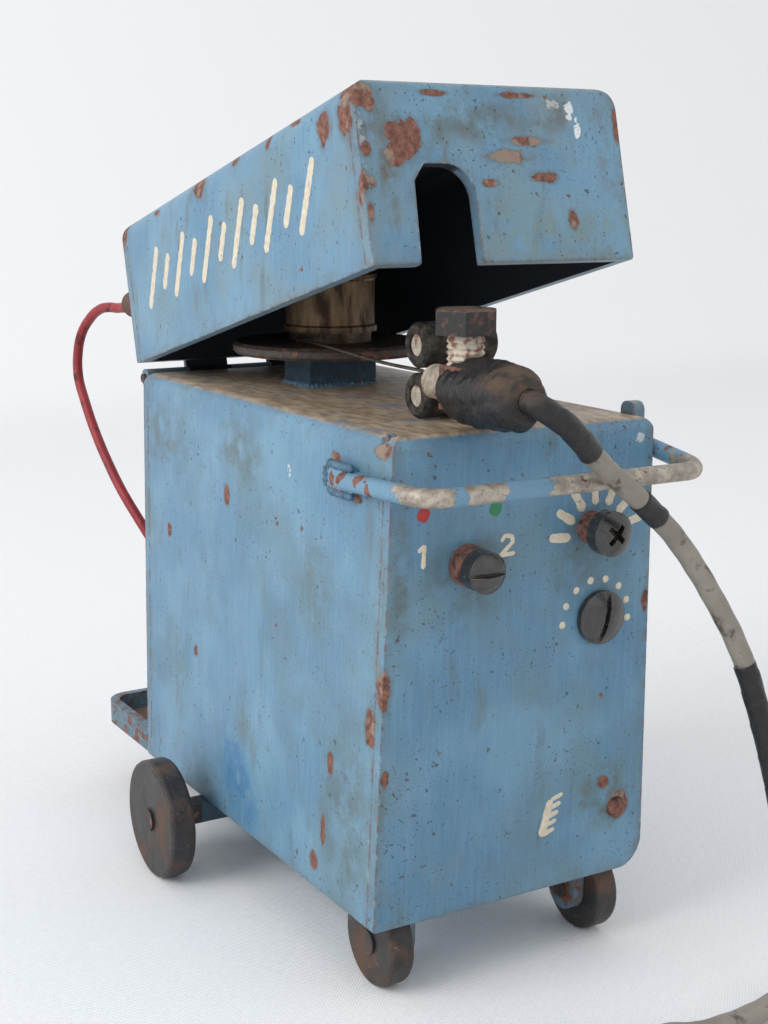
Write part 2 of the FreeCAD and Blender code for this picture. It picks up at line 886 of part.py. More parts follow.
def welding_wire():
    """Wire from the spool, between the rolls and into the neck."""
    over_flange = flange_low + flange_thickness + 1.1
    points = [
        vec(spool_x - drum_radius - 1.0, spool_y - 4.0, over_flange + 0.6),
        vec(-13.8, -2.0, over_flange),
        vec(feed_x, -30.0, nip_z),
        vec(feed_x, roller_y - 1.8, nip_z),
        vec(feed_x, neck_rear, guide_z),
        vec(feed_x, block_front + 1.0, guide_z),
    ]
    return cord(points, wire_radius)


# Supply lead behind the machine ----------------------------------------------------------
gland_x = -29.6
gland_height = 17.5
gland_length = 8.0
gland_radius = 3.7
casing_entry_x = -27.0
casing_entry_z = 72.0
entry_ring_length = 2.5


def lid_gland():
    """A short sleeve on the lid's rear plate, drawn in the lid's own frame."""
    profile = [
        (0, red_lead_radius + 0.3), (0, gland_radius), (gland_length - 1, gland_radius),
        (gland_length, gland_radius - 1), (gland_length, red_lead_radius + 0.3),
    ]
    return turned(profile, vec(gland_x, 0, gland_height), vec(0, 1, 0))


def casing_grommet():
    """A ring where the lead enters the rear panel."""
    profile = [
        (0, red_lead_radius + 0.3), (0, 3.4), (entry_ring_length - 0.7, 3.4),
        (entry_ring_length, 2.7), (entry_ring_length, red_lead_radius + 0.3),
    ]
    wall = vec(casing_entry_x, half_depth(casing_entry_z), casing_entry_z)
    outward = vec(0, 1, -depth_lean)
    return turned(profile, wall, outward)


def red_lead():
    """The lead loops out behind the machine, from the lid down into the casing."""
    turn = math.radians(lid_open_angle)
    outward = vec(0, math.cos(turn), -math.sin(turn))
    lift = vec(0, math.sin(turn), math.cos(turn))
    lid_wall = vec(gland_x, lid_corner_y, lid_corner_z) + lift * gland_height
    casing_wall = vec(casing_entry_x, half_depth(casing_entry_z), casing_entry_z)
    into_casing = vec(0, -1, depth_lean).normalize()
    points = [
        lid_wall,
        lid_wall + outward * (gland_length + 6.0),
        vec(-32.8, 102.0, 142.2),
        vec(-35.4, 112.0, 133.6),
        vec(-36.6, 112.6, 121.8),
        vec(-36.2, 100.0, 105.6),
        vec(-34.6, 85.0, 91.2),
        vec(-30.5, 75.0, 79.5),
        casing_wall + into_casing * -(entry_ring_length + 3.5),
        casing_wall,
    ]
    return cord(points, red_lead_radius)


# Build everything ------------------------------------------------------------------------
def build():
    block = casing_block()
    front, rear = end_panels(block)
    lid = lid_block()
    lid_front, lid_rear = lid_panels(lid)
    save("casing_wrap", casing_wrap(block))
    save("casing_front_panel", front_panel(front))
    save("casing_rear_panel", rear)
    save("carry_handle", carry_handle(block))
    save("lid_stop_lug", lid_stop_lug(block))
    save("earth_terminal", earth_terminal())
    save("rear_axle", rear_axle())
    save("tray_rim", tray_rim(block))
    save("tray_floor", tray_floor())
    save("selector_screw", selector_screw())
    save("voltage_screw", voltage_screw())
    save("wire_speed_screw", wire_speed_screw())
    save("selector_collar", screw_collar(selector))
    save("voltage_collar", screw_collar(voltage))
    save("selector_nut", screw_nut(selector))
    save("voltage_nut", screw_nut(voltage))
    save("wire_speed_nut", screw_nut(wire_speed))
    for name, side in (("left", -1), ("right", 1)):
        save("rear_wheel_" + name,
             wheel(rear_wheel_face, side, rear_axle_y, rear_wheel_radius, rear_wheel_width))
        save("front_wheel_" + name,
             wheel(front_wheel_face, side, front_axle_y, front_wheel_radius, front_wheel_width))
        save("front_wheel_tab_" + name, front_wheel_tab(side))
        save("front_wheel_pin_" + name, front_wheel_pin(side))
    save("lid_shell", place_lid(lid_shell(lid)))
    save("lid_front_plate", place_lid(lid_front.cut(arch_cutter())))
    save("lid_rear_plate", place_lid(lid_rear))
    save("lid_hinge_leaf", place_lid(lid_hinge_leaf()))
    save("lid_gland", place_lid(lid_gland()))
    save("casing_hinge_leaf", casing_hinge_leaf())
    save("hinge_pin", hinge_pin())
    for name, z in (("upper", upper_roller_z), ("lower", lower_roller_z)):
        save(name + "_roller_axle", roller_axle(z))
        save(name + "_roller_left", roller_tyre(roller_left, bracket_left - running_gap, z))
        save(name + "_roller_right", roller_tyre(bracket_right + running_gap, roller_right, z))
    save("feed_bracket", feed_bracket())
    save("wire_neck", wire_neck())
    save("guide_block", guide_block())
    save("pressure_screw", pressure_screw())
    save("tape_wrap", tape_wrap())
    save("torch_cable", torch_cable())
    save("torch_grip", torch_grip())
    save("torch_nozzle", torch_nozzle())
    save("spool_pedestal", spool_pedestal())
    save("spool_spindle", spool_spindle())
    save("spool_flange", spool_flange())
    save("spool_drum", spool_drum())
    save("welding_wire", welding_wire())
    save("casing_grommet", casing_grommet())
    save("red_lead", red_lead())


build()
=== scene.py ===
import json
import math

import bmesh
import bpy
from mathutils import Matrix, Vector, noise
from mathutils.bvhtree import BVHTree


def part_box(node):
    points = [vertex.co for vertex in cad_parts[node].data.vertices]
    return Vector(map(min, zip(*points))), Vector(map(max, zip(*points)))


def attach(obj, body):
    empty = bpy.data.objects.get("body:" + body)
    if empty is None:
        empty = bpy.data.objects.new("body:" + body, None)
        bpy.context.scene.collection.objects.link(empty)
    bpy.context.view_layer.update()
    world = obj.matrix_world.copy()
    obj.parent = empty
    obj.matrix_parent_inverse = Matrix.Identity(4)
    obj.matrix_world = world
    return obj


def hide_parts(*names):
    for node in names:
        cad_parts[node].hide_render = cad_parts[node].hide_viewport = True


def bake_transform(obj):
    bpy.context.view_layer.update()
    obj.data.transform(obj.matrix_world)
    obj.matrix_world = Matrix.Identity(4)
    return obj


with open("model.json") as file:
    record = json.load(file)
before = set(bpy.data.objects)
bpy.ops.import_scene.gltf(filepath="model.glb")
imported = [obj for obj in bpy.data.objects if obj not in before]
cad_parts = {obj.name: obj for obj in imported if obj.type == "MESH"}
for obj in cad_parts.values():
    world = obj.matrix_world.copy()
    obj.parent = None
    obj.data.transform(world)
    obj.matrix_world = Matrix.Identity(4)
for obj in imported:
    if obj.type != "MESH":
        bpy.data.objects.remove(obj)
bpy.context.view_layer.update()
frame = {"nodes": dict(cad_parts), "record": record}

MM = 0.001
PER_MM = 1000.0
FULL_TURN = 2 * math.pi
LID_OPEN_ANGLE = math.radians(14.0)
# y and z of the lid's rear bottom edge, millimetres
LID_CORNER = (71.5, 128.5)
# line on which the cable leaves the guide block, millimetres
FEED_X = -14.3
FEED_Z = 135.0


# Material kit ------------------------------------------
class Finish:
    """Builds one node material; every position in it is in millimetres of the row frame."""

    def __init__(self, name):
        self.material = bpy.data.materials.new(name)
        self.material.use_nodes = True
        self.nodes = self.material.node_tree.nodes
        self.nodes.clear()
        self.shader = self.node("ShaderNodeBsdfPrincipled")
        output = self.node("ShaderNodeOutputMaterial")
        self.join(self.shader.outputs[0], output.inputs[0])
        coordinates = self.node("ShaderNodeTexCoord")
        self.place = self.vector("SCALE", coordinates.outputs["Object"], scale=PER_MM)

    def node(self, kind, **settings):
        made = self.nodes.new(kind)
        for key, value in settings.items():
            setattr(made, key, value)
        return made

    def join(self, source, target):
        self.material.node_tree.links.new(source, target)

    def feed(self, target, value):
        """Link a socket, or set a plain value."""
        if isinstance(value, bpy.types.NodeSocket):
            self.join(value, target)
        else:
            target.default_value = value

    def vector(self, operation, first, second=None, scale=None):
        made = self.node("ShaderNodeVectorMath", operation=operation)
        self.feed(made.inputs[0], first)
        if second is not None:
            self.feed(made.inputs[1], second)
        if scale is not None:
            made.inputs["Scale"].default_value = scale
        return made.outputs["Value" if operation in ("DOT_PRODUCT", "LENGTH") else "Vector"]

    def math(self, operation, first, second=0.0):
        made = self.node("ShaderNodeMath", operation=operation)
        self.feed(made.inputs[0], first)
        self.feed(made.inputs[1], second)
        return made.outputs[0]

    def times(self, first, second):
        return self.math("MULTIPLY", first, second)

    def plus(self, first, second):
        return self.math("ADD", first, second)

    def step(self, value, low, high):
        """0 below low, 1 above high, smooth between."""
        made = self.node("ShaderNodeMapRange", interpolation_type="SMOOTHSTEP")
        self.feed(made.inputs["Value"], value)
        made.inputs["From Min"].default_value = low
        made.inputs["From Max"].default_value = high
        return made.outputs["Result"]

    def grain(self, size, detail=5.0, stretch=(1, 1, 1), shift=0.0):
        """Noise whose features are about size millimetres across."""
        where = self.vector("MULTIPLY", self.place, stretch)
        where = self.vector("ADD", where, (shift, shift * 1.7, shift * 0.6))
        made = self.node("ShaderNodeTexNoise")
        self.join(where, made.inputs["Vector"])
        made.inputs["Scale"].default_value = 1.0 / size
        made.inputs["Detail"].default_value = detail
        made.inputs["Roughness"].default_value = 0.6
        return made.outputs["Fac"]

    def mix(self, amount, first, second):
        """Colour from first, where amount is 0, to second, where it is 1."""
        made = self.node("ShaderNodeMix", data_type="RGBA")
        self.feed(made.inputs["Factor"], amount)
        for socket, value in ((made.inputs[6], first), (made.inputs[7], second)):
            if isinstance(value, bpy.types.NodeSocket):
                self.join(value, socket)
            else:
                socket.default_value = (*value, 1.0)
        return made.outputs[2]

    def cover(self, colour, mask, tint, strength=1.0):
        """Lay a tint over a colour where the mask is 1, as strongly as given."""
        return self.mix(self.times(mask, strength), colour, tint)

    def blend_value(self, amount, first, second):
        made = self.node("ShaderNodeMix", data_type="FLOAT")
        self.feed(made.inputs["Factor"], amount)
        self.feed(made.inputs[2], first)
        self.feed(made.inputs[3], second)
        return made.outputs[0]

    def reach(self, patches):
        """How far outside the nearest patch a point is: below 1 inside, larger outside."""
        raggedness = 1.9
        ragged = self.times(self.math("SUBTRACT", self.grain(3.3, 7.0), 0.5), raggedness)
        nearest = None
        for centre, size in patches:
            away = self.vector("SUBTRACT", self.place, centre)
            length = self.vector("LENGTH", self.vector("DIVIDE", away, size))
            nearest = length if nearest is None else self.math("MINIMUM", nearest, length)
        return self.plus(nearest, ragged)

    def haze(self, centre, size, grit=5.0):
        """A soft patch that fades out and breaks up."""
        away = self.vector("SUBTRACT", self.place, centre)
        length = self.vector("LENGTH", self.vector("DIVIDE", away, size))
        broken = self.step(self.grain(grit, 9.0, shift=centre[0]), 0.36, 0.62)
        return self.times(self.step(length, 1.35, 0.35), broken)

    def either(self, masks):
        """1 where any of the masks is."""
        total = masks[0]
        for mask in masks[1:]:
            total = self.math("MAXIMUM", total, mask)
        return total

    def edge(self, radius, low=0.02, high=0.14):
        """1 on convex and concave edges."""
        rounded = self.node("ShaderNodeBevel", samples=4)
        rounded.inputs["Radius"].default_value = radius * MM
        normal = self.node("ShaderNodeNewGeometry").outputs["Normal"]
        same = self.vector("DOT_PRODUCT", rounded.outputs[0], normal)
        return self.step(self.math("SUBTRACT", 1.0, same), low, high)

    def own_normal(self):
        """The surface normal in the row frame at rest, whatever pose the body is in."""
        turn = self.node("ShaderNodeVectorTransform", vector_type="NORMAL",
                         convert_from="WORLD", convert_to="OBJECT")
        self.join(self.node("ShaderNodeNewGeometry").outputs["True Normal"], turn.inputs[0])
        return turn.outputs[0]

    def along(self, axis):
        """Position along x, y or z, given as 0, 1 or 2, in millimetres."""
        made = self.node("ShaderNodeSeparateXYZ")
        self.join(self.place, made.inputs[0])
        return made.outputs[axis]

    def bump(self, height, depth, rounded=0.0):
        """Raise the surface by height times depth millimetres, over softened edges."""
        made = self.node("ShaderNodeBump")
        made.inputs["Distance"].default_value = depth * MM
        made.inputs["Strength"].default_value = 1.0
        self.feed(made.inputs["Height"], height)
        if rounded:
            soft = self.node("ShaderNodeBevel", samples=4)
            soft.inputs["Radius"].default_value = rounded * MM
            self.join(soft.outputs[0], made.inputs["Normal"])
        self.join(made.outputs[0], self.shader.inputs["Normal"])

    def set(self, colour, roughness, metallic=0.0, specular=0.5):
        self.feed(self.shader.inputs["Base Color"], colour)
        self.feed(self.shader.inputs["Roughness"], roughness)
        self.feed(self.shader.inputs["Metallic"], metallic)
        self.feed(self.shader.inputs["Specular IOR Level"], specular)
        return self.material


# linear colours
DEEP_RUST = (0.105, 0.043, 0.031)
PALE_RUST = (0.262, 0.122, 0.088)
DARK_STEEL = (0.045, 0.036, 0.032)
DULL_BLACK = (0.020, 0.019, 0.019)
PALE_SCRAPE = (0.285, 0.225, 0.175)
# near-black blue for faces turned inward: painted shade over the darker inside
INSIDE_PAINTED_SHADE = (0.010, 0.017, 0.026)


def shade(tint, share):
    """A tint times a share: darker below 1, lighter above."""
    return tuple(share * part for part in tint)


def rust_colour(f, shift=0.0):
    """Mottled rust, from deep to pale."""
    return f.mix(f.step(f.grain(1.3, 8.0, shift=shift), 0.28, 0.72), DEEP_RUST, PALE_RUST)


def brushed_enamel(f, streak, patina, grime_share, weathered):
    """Blue enamel with brush streaks, weathered areas, run marks and grime in its corners."""
    colour = f.mix(f.step(f.grain(34.0, 3.0), 0.38, 0.64), (0.092, 0.215, 0.335),
                   (0.138, 0.282, 0.398))
    colour = f.cover(colour, f.step(streak, 0.35, 0.75), (0.190, 0.345, 0.470), 0.32)
    colour = f.cover(colour, patina, weathered, grime_share)
    run = f.step(f.grain(6.0, 8.0, stretch=(1, 1, 0.30), shift=21.0), 0.55, 0.74)
    colour = f.cover(colour, run, (0.105, 0.130, 0.115), grime_share)
    border = f.times(f.edge(5.0, 0.004, 0.10), f.step(f.grain(4.0, 9.0, shift=50.0), 0.35, 0.62))
    return f.cover(colour, border, (0.125, 0.125, 0.098), 0.60)


def lay_stains(f, colour, hazes, scratches):
    """Soft stains, then scratches with harder edges."""
    for centre, size, tint, strength in hazes:
        colour = f.cover(colour, f.haze(centre, size), tint, strength)
    for centre, size, tint, strength in scratches:
        line = f.step(f.haze(centre, size, grit=2.0), 0.22, 0.50)
        colour = f.cover(colour, line, tint, strength)
    return colour


def lay_specks(f, colour, crowding):
    """Dark specks of three sizes, gathered in clusters."""
    # size in millimetres, threshold of the noise, strength
    for size, low, share in ((0.55, 0.665, 0.70), (1.1, 0.672, 0.80), (2.2, 0.690, 0.75)):
        fine = f.plus(f.grain(size, 3.0, shift=40.0 * size), crowding)
        colour = f.cover(colour, f.step(fine, low, low + 0.030), (0.050, 0.042, 0.036), share)
    return colour


def bare_steel(f, reach, crowding):
    """1 where the paint is gone: inside the chips, in small flakes and along the edges."""
    flakes = f.step(f.plus(f.grain(4.2, 10.0, shift=60.0), crowding), 0.703, 0.716)
    worn_edge = f.times(f.edge(1.2), f.step(f.grain(3.2, 8.0, shift=77.0), 0.47, 0.54))
    return f.either([f.step(reach, 1.04, 0.97), flakes, worn_edge])


def settle_dust(f, colour, amount):
    """Brown dust and grit on what faces up."""
    up = f.vector("DOT_PRODUCT", f.own_normal(), (0, 0, 1))
    settled = f.times(f.step(up, 0.70, 0.96), f.step(f.grain(11.0, 8.0, shift=5.0), 0.18, 0.50))
    grit = f.mix(f.step(f.grain(1.8, 8.0, stretch=(1, 0.35, 1)), 0.35, 0.65),
                 (0.520, 0.400, 0.280), (0.270, 0.190, 0.120))
    return f.cover(colour, settled, grit, amount)


def worn_blue(name, chips, hazes=(), scratches=(), inside=None, dust=0.0, grime_share=0.50,
              weathered=(0.125, 0.200, 0.225)):
    """Brushed blue enamel on steel, worn down to rust; faces towards inside get painted shade."""
    f = Finish(name)
    streak = f.grain(1.0, 4.0, stretch=(1.1, 1.1, 0.07), shift=9.0)
    patina = f.step(f.grain(24.0, 10.0, shift=3.0), 0.44, 0.66)
    crowding = f.times(f.step(f.grain(20.0, 4.0, shift=70.0), 0.42, 0.66), 0.030)
    reach = f.reach(chips)
    bare = bare_steel(f, reach, crowding)

    colour = brushed_enamel(f, streak, patina, grime_share, weathered)
    colour = lay_stains(f, colour, hazes, scratches)
    colour = lay_specks(f, colour, crowding)
    colour = f.cover(colour, f.step(reach, 1.55, 1.05), (0.100, 0.120, 0.120), 0.50)
    rubbed = f.times(f.edge(1.0, 0.01, 0.10), f.step(f.grain(1.6, 8.0, shift=88.0), 0.50, 0.60))
    colour = f.cover(colour, rubbed, (0.420, 0.450, 0.440), 0.60)
    scraped = f.step(f.grain(7.0, 4.0, shift=95.0), 0.53, 0.60)
    colour = f.mix(bare, colour, f.cover(rust_colour(f), scraped, PALE_SCRAPE, 0.8))
    if dust:
        colour = settle_dust(f, colour, dust)
    rough = f.blend_value(bare, f.blend_value(patina, 0.42, 0.58), 0.90)
    # painted shade: faces turned towards the inside point are painted near-black, the inside's
    # darker steel and its shade as one colour
    if inside is not None:
        away = f.vector("SUBTRACT", f.place, inside)
        inward_painted_shade = f.step(f.vector("DOT_PRODUCT", f.own_normal(), away), 0.5, -0.5)
        colour = f.mix(inward_painted_shade, colour, INSIDE_PAINTED_SHADE)
        rough = f.blend_value(inward_painted_shade, rough, 0.75)

    sheet = f.times(f.grain(26.0, 2.0, shift=12.0), 2.2)
    pits = f.times(f.math("SUBTRACT", f.grain(0.8, 6.0), 0.5), 0.26)
    height = f.plus(sheet, f.plus(f.times(streak, 0.16), pits))
    f.bump(f.math("SUBTRACT", height, f.times(bare, 0.22)), 0.42, rounded=0.7)
    return f.set(colour, rough, specular=0.45)


def rusty(name, paint, cover, shift=0.0, gloss=0.5):
    """A painted or blackened steel piece with rust showing where the cover is thin."""
    f = Finish(name)
    patch = f.step(f.grain(4.2, 8.0, shift=shift), cover, cover + 0.10)
    worn_edge = f.times(f.edge(0.5), f.step(f.grain(1.8, 5.0), 0.42, 0.55))
    bare = f.either([patch, worn_edge])
    varied = f.mix(f.step(f.grain(1.6, 6.0, shift=shift + 4.0), 0.30, 0.70), paint,
                   shade(paint, 0.55))
    colour = f.mix(bare, varied, rust_colour(f, shift))
    height = f.plus(f.grain(0.9, 8.0, shift=shift), f.times(bare, -0.45))
    f.bump(height, 0.28)
    return f.set(colour, f.blend_value(bare, gloss, 0.86), specular=0.45)


def axle_finish():
    """Dark blue axle whose ends are as black as the wheels they hold."""
    f = Finish("axle_finish")
    wheel_inner_face = 38.0
    from_middle = f.math("ABSOLUTE", f.along(0))
    end = f.step(from_middle, wheel_inner_face, wheel_inner_face + 0.4)
    colour = f.mix(end, (0.030, 0.066, 0.098), (0.022, 0.021, 0.021))
    bare = f.step(f.grain(3.6, 8.0, shift=5.0), 0.55, 0.64)
    colour = f.mix(bare, colour, rust_colour(f))
    f.bump(f.grain(0.9, 8.0), 0.24)
    return f.set(colour, f.blend_value(bare, 0.50, 0.86))


def knob_black():
    """Semi-gloss black over steel, rubbed brown on the edges and in the slot."""
    f = Finish("knob_black")
    rubbed = f.times(f.edge(0.45, 0.01, 0.10), f.step(f.grain(1.4, 6.0), 0.44, 0.60))
    fleck = f.step(f.grain(0.9, 7.0, shift=6.0), 0.64, 0.69)
    bare = f.either([rubbed, fleck])
    colour = f.mix(f.step(f.grain(3.0, 5.0), 0.3, 0.7), (0.014, 0.014, 0.015),
                   (0.034, 0.032, 0.031))
    colour = f.mix(bare, colour, (0.150, 0.082, 0.052))
    f.bump(f.plus(f.grain(1.6, 5.0), f.times(bare, -0.4)), 0.10)
    return f.set(colour, f.blend_value(bare, 0.24, 0.66), specular=0.8)


def bolt_finish():
    """Black head with a rust-brown top; cream paint left in the thread below."""
    f = Finish("bolt_finish")
    head_low = 146.5
    head_top = 151.4
    height = f.along(2)
    black = f.mix(f.step(f.grain(2.2, 7.0), 0.52, 0.64), DULL_BLACK, DEEP_RUST)
    top = f.times(f.step(height, head_top, head_top + 0.3),
                 f.step(f.grain(3.0, 8.0, shift=3.0), 0.34, 0.52))
    black = f.mix(top, black, (0.135, 0.088, 0.064))
    thread = f.mix(f.step(f.grain(1.7, 8.0, shift=8.0), 0.46, 0.58), (0.58, 0.52, 0.43), PALE_RUST)
    colour = f.mix(f.step(height, head_low - 0.1, head_low + 0.1), thread, black)
    f.bump(f.grain(0.8, 8.0), 0.22)
    return f.set(colour, 0.58, specular=0.45)


# x of the middles of two stretches of blue paint left on the handle's bar, millimetres
HANDLE_BLUE_X = -12.4
HANDLE_PATCH_X = -29.8


def handle_finish():
    """Bare steel rod; blue paint left on the rear legs and on two stretches of the bar."""
    f = Finish("handle_finish")
    colour = f.mix(f.step(f.grain(2.6, 8.0), 0.36, 0.62), (0.475, 0.425, 0.355),
                   (0.290, 0.250, 0.205))
    colour = f.cover(colour, f.step(f.grain(1.3, 8.0, shift=9.0), 0.58, 0.66),
                     (0.140, 0.110, 0.085), 0.6)
    painted = [
        ((HANDLE_BLUE_X, -81.6, 117.0), (6.4, 9.0, 9.0)),
        ((HANDLE_PATCH_X, -83.0, 117.0), (1.8, 9.0, 9.0)),
        ((-37.0, -58.0, 117.0), (9.0, 15.0, 9.0)),
        ((39.0, -62.0, 121.0), (9.0, 12.0, 9.0)),
    ]
    blue = f.step(f.reach(painted), 1.03, 0.97)
    colour = f.mix(blue, colour, (0.135, 0.268, 0.385))
    rusted = [
        ((-39.5, -50.5, 118.0), (3.0, 3.2, 2.6)),
        ((-37.0, -58.5, 118.5), (4.0, 1.6, 2.6)),
        ((-37.0, -63.0, 115.0), (4.0, 1.1, 2.0)),
        ((-39.0, -45.5, 115.0), (3.0, 1.6, 2.6)),
    ]
    fleck = f.step(f.grain(3.6, 9.0, shift=33.0), 0.635, 0.66)
    rust = f.either([f.step(f.reach(rusted), 1.05, 0.95), fleck])
    colour = f.mix(rust, colour, rust_colour(f))
    bright = f.times(f.math("SUBTRACT", 1.0, f.either([blue, rust])), 0.50)
    f.bump(f.plus(f.grain(0.9, 8.0), f.times(blue, 0.45)), 0.26)
    return f.set(colour, f.blend_value(rust, 0.44, 0.85), metallic=bright)


def wheel_finish():
    """Dull black wheels stained brown in broad patches."""
    f = Finish("wheel_finish")
    colour = f.mix(f.step(f.grain(5.0, 6.0), 0.34, 0.66), DULL_BLACK, (0.036, 0.034, 0.032))
    stain = f.step(f.grain(13.0, 7.0, shift=16.0), 0.47, 0.66)
    colour = f.cover(colour, stain, (0.125, 0.068, 0.044), 0.75)
    fleck = f.step(f.grain(2.2, 8.0, shift=25.0), 0.64, 0.68)
    rubbed = f.times(f.edge(0.6), f.step(f.grain(2.4, 6.0), 0.48, 0.58))
    bare = f.either([fleck, rubbed])
    colour = f.mix(bare, colour, rust_colour(f))
    f.bump(f.plus(f.grain(1.1, 8.0), f.times(f.grain(5.0), 1.5)), 0.24)
    return f.set(colour, f.blend_value(stain, 0.46, 0.78), specular=0.45)


def roller_rubber():
    """Dusty black rubber with fine turning marks."""
    f = Finish("roller_rubber")
    colour = f.mix(f.step(f.grain(2.2, 8.0), 0.38, 0.70), (0.018, 0.017, 0.016),
                   (0.085, 0.070, 0.056))
    ring = f.grain(0.5, 3.0, stretch=(3.0, 0.4, 0.4))
    f.bump(f.plus(ring, f.grain(0.7, 7.0)), 0.20)
    return f.set(colour, 0.80, specular=0.3)


def tape_finish():
    """Black insulating tape: soft sheen, brown dirt worked in towards the front end."""
    f = Finish("tape_finish")
    high_front = f.times(f.step(f.along(1), -74.0, -83.0), f.step(f.along(2), 134.0, 138.5))
    soiled = f.times(high_front, f.step(f.grain(3.4, 8.0, shift=4.0), 0.36, 0.58))
    soiled = f.either([soiled, f.step(f.grain(3.0, 9.0, shift=31.0), 0.66, 0.71)])
    colour = f.mix(f.step(f.grain(1.7, 6.0), 0.3, 0.7), (0.007, 0.007, 0.008),
                   (0.017, 0.016, 0.016))
    colour = f.cover(colour, soiled, (0.128, 0.080, 0.050), 0.70)
    wrinkle = f.grain(1.3, 7.0, stretch=(1.0, 2.2, 1.0))
    f.bump(f.plus(wrinkle, f.times(soiled, 0.3)), 0.34)
    return f.set(colour, f.blend_value(soiled, 0.34, 0.80), specular=0.42)


def sheath(name, clean, dirty, cover, gloss):
    """Flexible cable sheath: rubbed, greasy and lightly scuffed along its length."""
    f = Finish(name)
    marks = f.step(f.grain(5.0, 9.0, shift=2.0), cover, cover + 0.10)
    scuff = f.step(f.grain(0.9, 6.0, shift=19.0), 0.60, 0.70)
    colour = f.mix(f.step(f.grain(12.0, 4.0), 0.35, 0.65), clean, shade(clean, 0.78))
    colour = f.cover(colour, marks, dirty, 0.80)
    colour = f.cover(colour, scuff, shade(clean, 1.25), 0.35)
    f.bump(f.plus(f.grain(0.6, 6.0), f.grain(2.4, 4.0)), 0.13)
    return f.set(colour, f.blend_value(marks, gloss, 0.74), specular=0.45)


def tin_finish():
    """Tarnished tin drum: golden brown, streaked downwards, darker foot."""
    f = Finish("tin_finish")
    streak = f.grain(2.6, 8.0, stretch=(1.0, 1.0, 0.22))
    colour = f.mix(f.step(streak, 0.34, 0.68), (0.225, 0.150, 0.084), (0.066, 0.040, 0.025))
    foot = f.times(f.step(f.along(2), 142.5, 139.0), f.step(f.grain(3.0), 0.3, 0.6))
    colour = f.cover(colour, foot, (0.045, 0.034, 0.027), 0.85)
    f.bump(f.plus(streak, f.grain(0.8, 7.0)), 0.20)
    return f.set(colour, f.blend_value(f.step(streak, 0.4, 0.7), 0.40, 0.72), metallic=0.55)


def brushed_metal(name, light, dark, roughness, stretch):
    """Metal with fine lines and darker stains; stretch sets which way the lines run."""
    f = Finish(name)
    lines = f.grain(0.6, 5.0, stretch=stretch)
    stain = f.step(f.grain(5.0, 8.0, shift=5.0), 0.46, 0.66)
    colour = f.mix(f.step(lines, 0.3, 0.7), light, dark)
    colour = f.cover(colour, stain, shade(dark, 0.45), 0.6)
    f.bump(lines, 0.12)
    return f.set(colour, f.blend_value(stain, roughness, roughness + 0.25), metallic=0.8)


def sign_paint(name, tint):
    """Thick hand-laid enamel with brush lines and small losses."""
    f = Finish(name)
    worn = f.step(f.grain(1.5, 8.0, shift=7.0), 0.62, 0.68)
    colour = f.mix(f.step(f.grain(1.2, 6.0), 0.32, 0.68), tint, shade(tint, 0.80))
    colour = f.cover(colour, worn, (0.160, 0.235, 0.290), 0.75)
    f.bump(f.grain(0.45, 5.0, stretch=(1.0, 1.0, 0.5)), 0.10)
    return f.set(colour, 0.50)


def cloth_floor():
    """White woven cloth on the floor, running up into a smooth backdrop."""
    f = Finish("cloth_floor")
    thread = 0.9
    waves = []
    for axis in (0, 1):
        waves.append(f.math("SINE", f.times(f.along(axis), FULL_TURN / thread)))
    weave = f.times(waves[0], waves[1])
    flat = f.step(f.along(2), 30.0, 2.0)
    slub = f.step(f.grain(2.0, 4.0), 0.2, 0.8)
    height = f.plus(weave, f.times(slub, 1.2))
    colour = f.mix(f.times(slub, flat), (0.885, 0.885, 0.890), (0.850, 0.852, 0.862))
    f.bump(f.times(height, flat), 0.055)
    return f.set(colour, 0.95, specular=0.1)


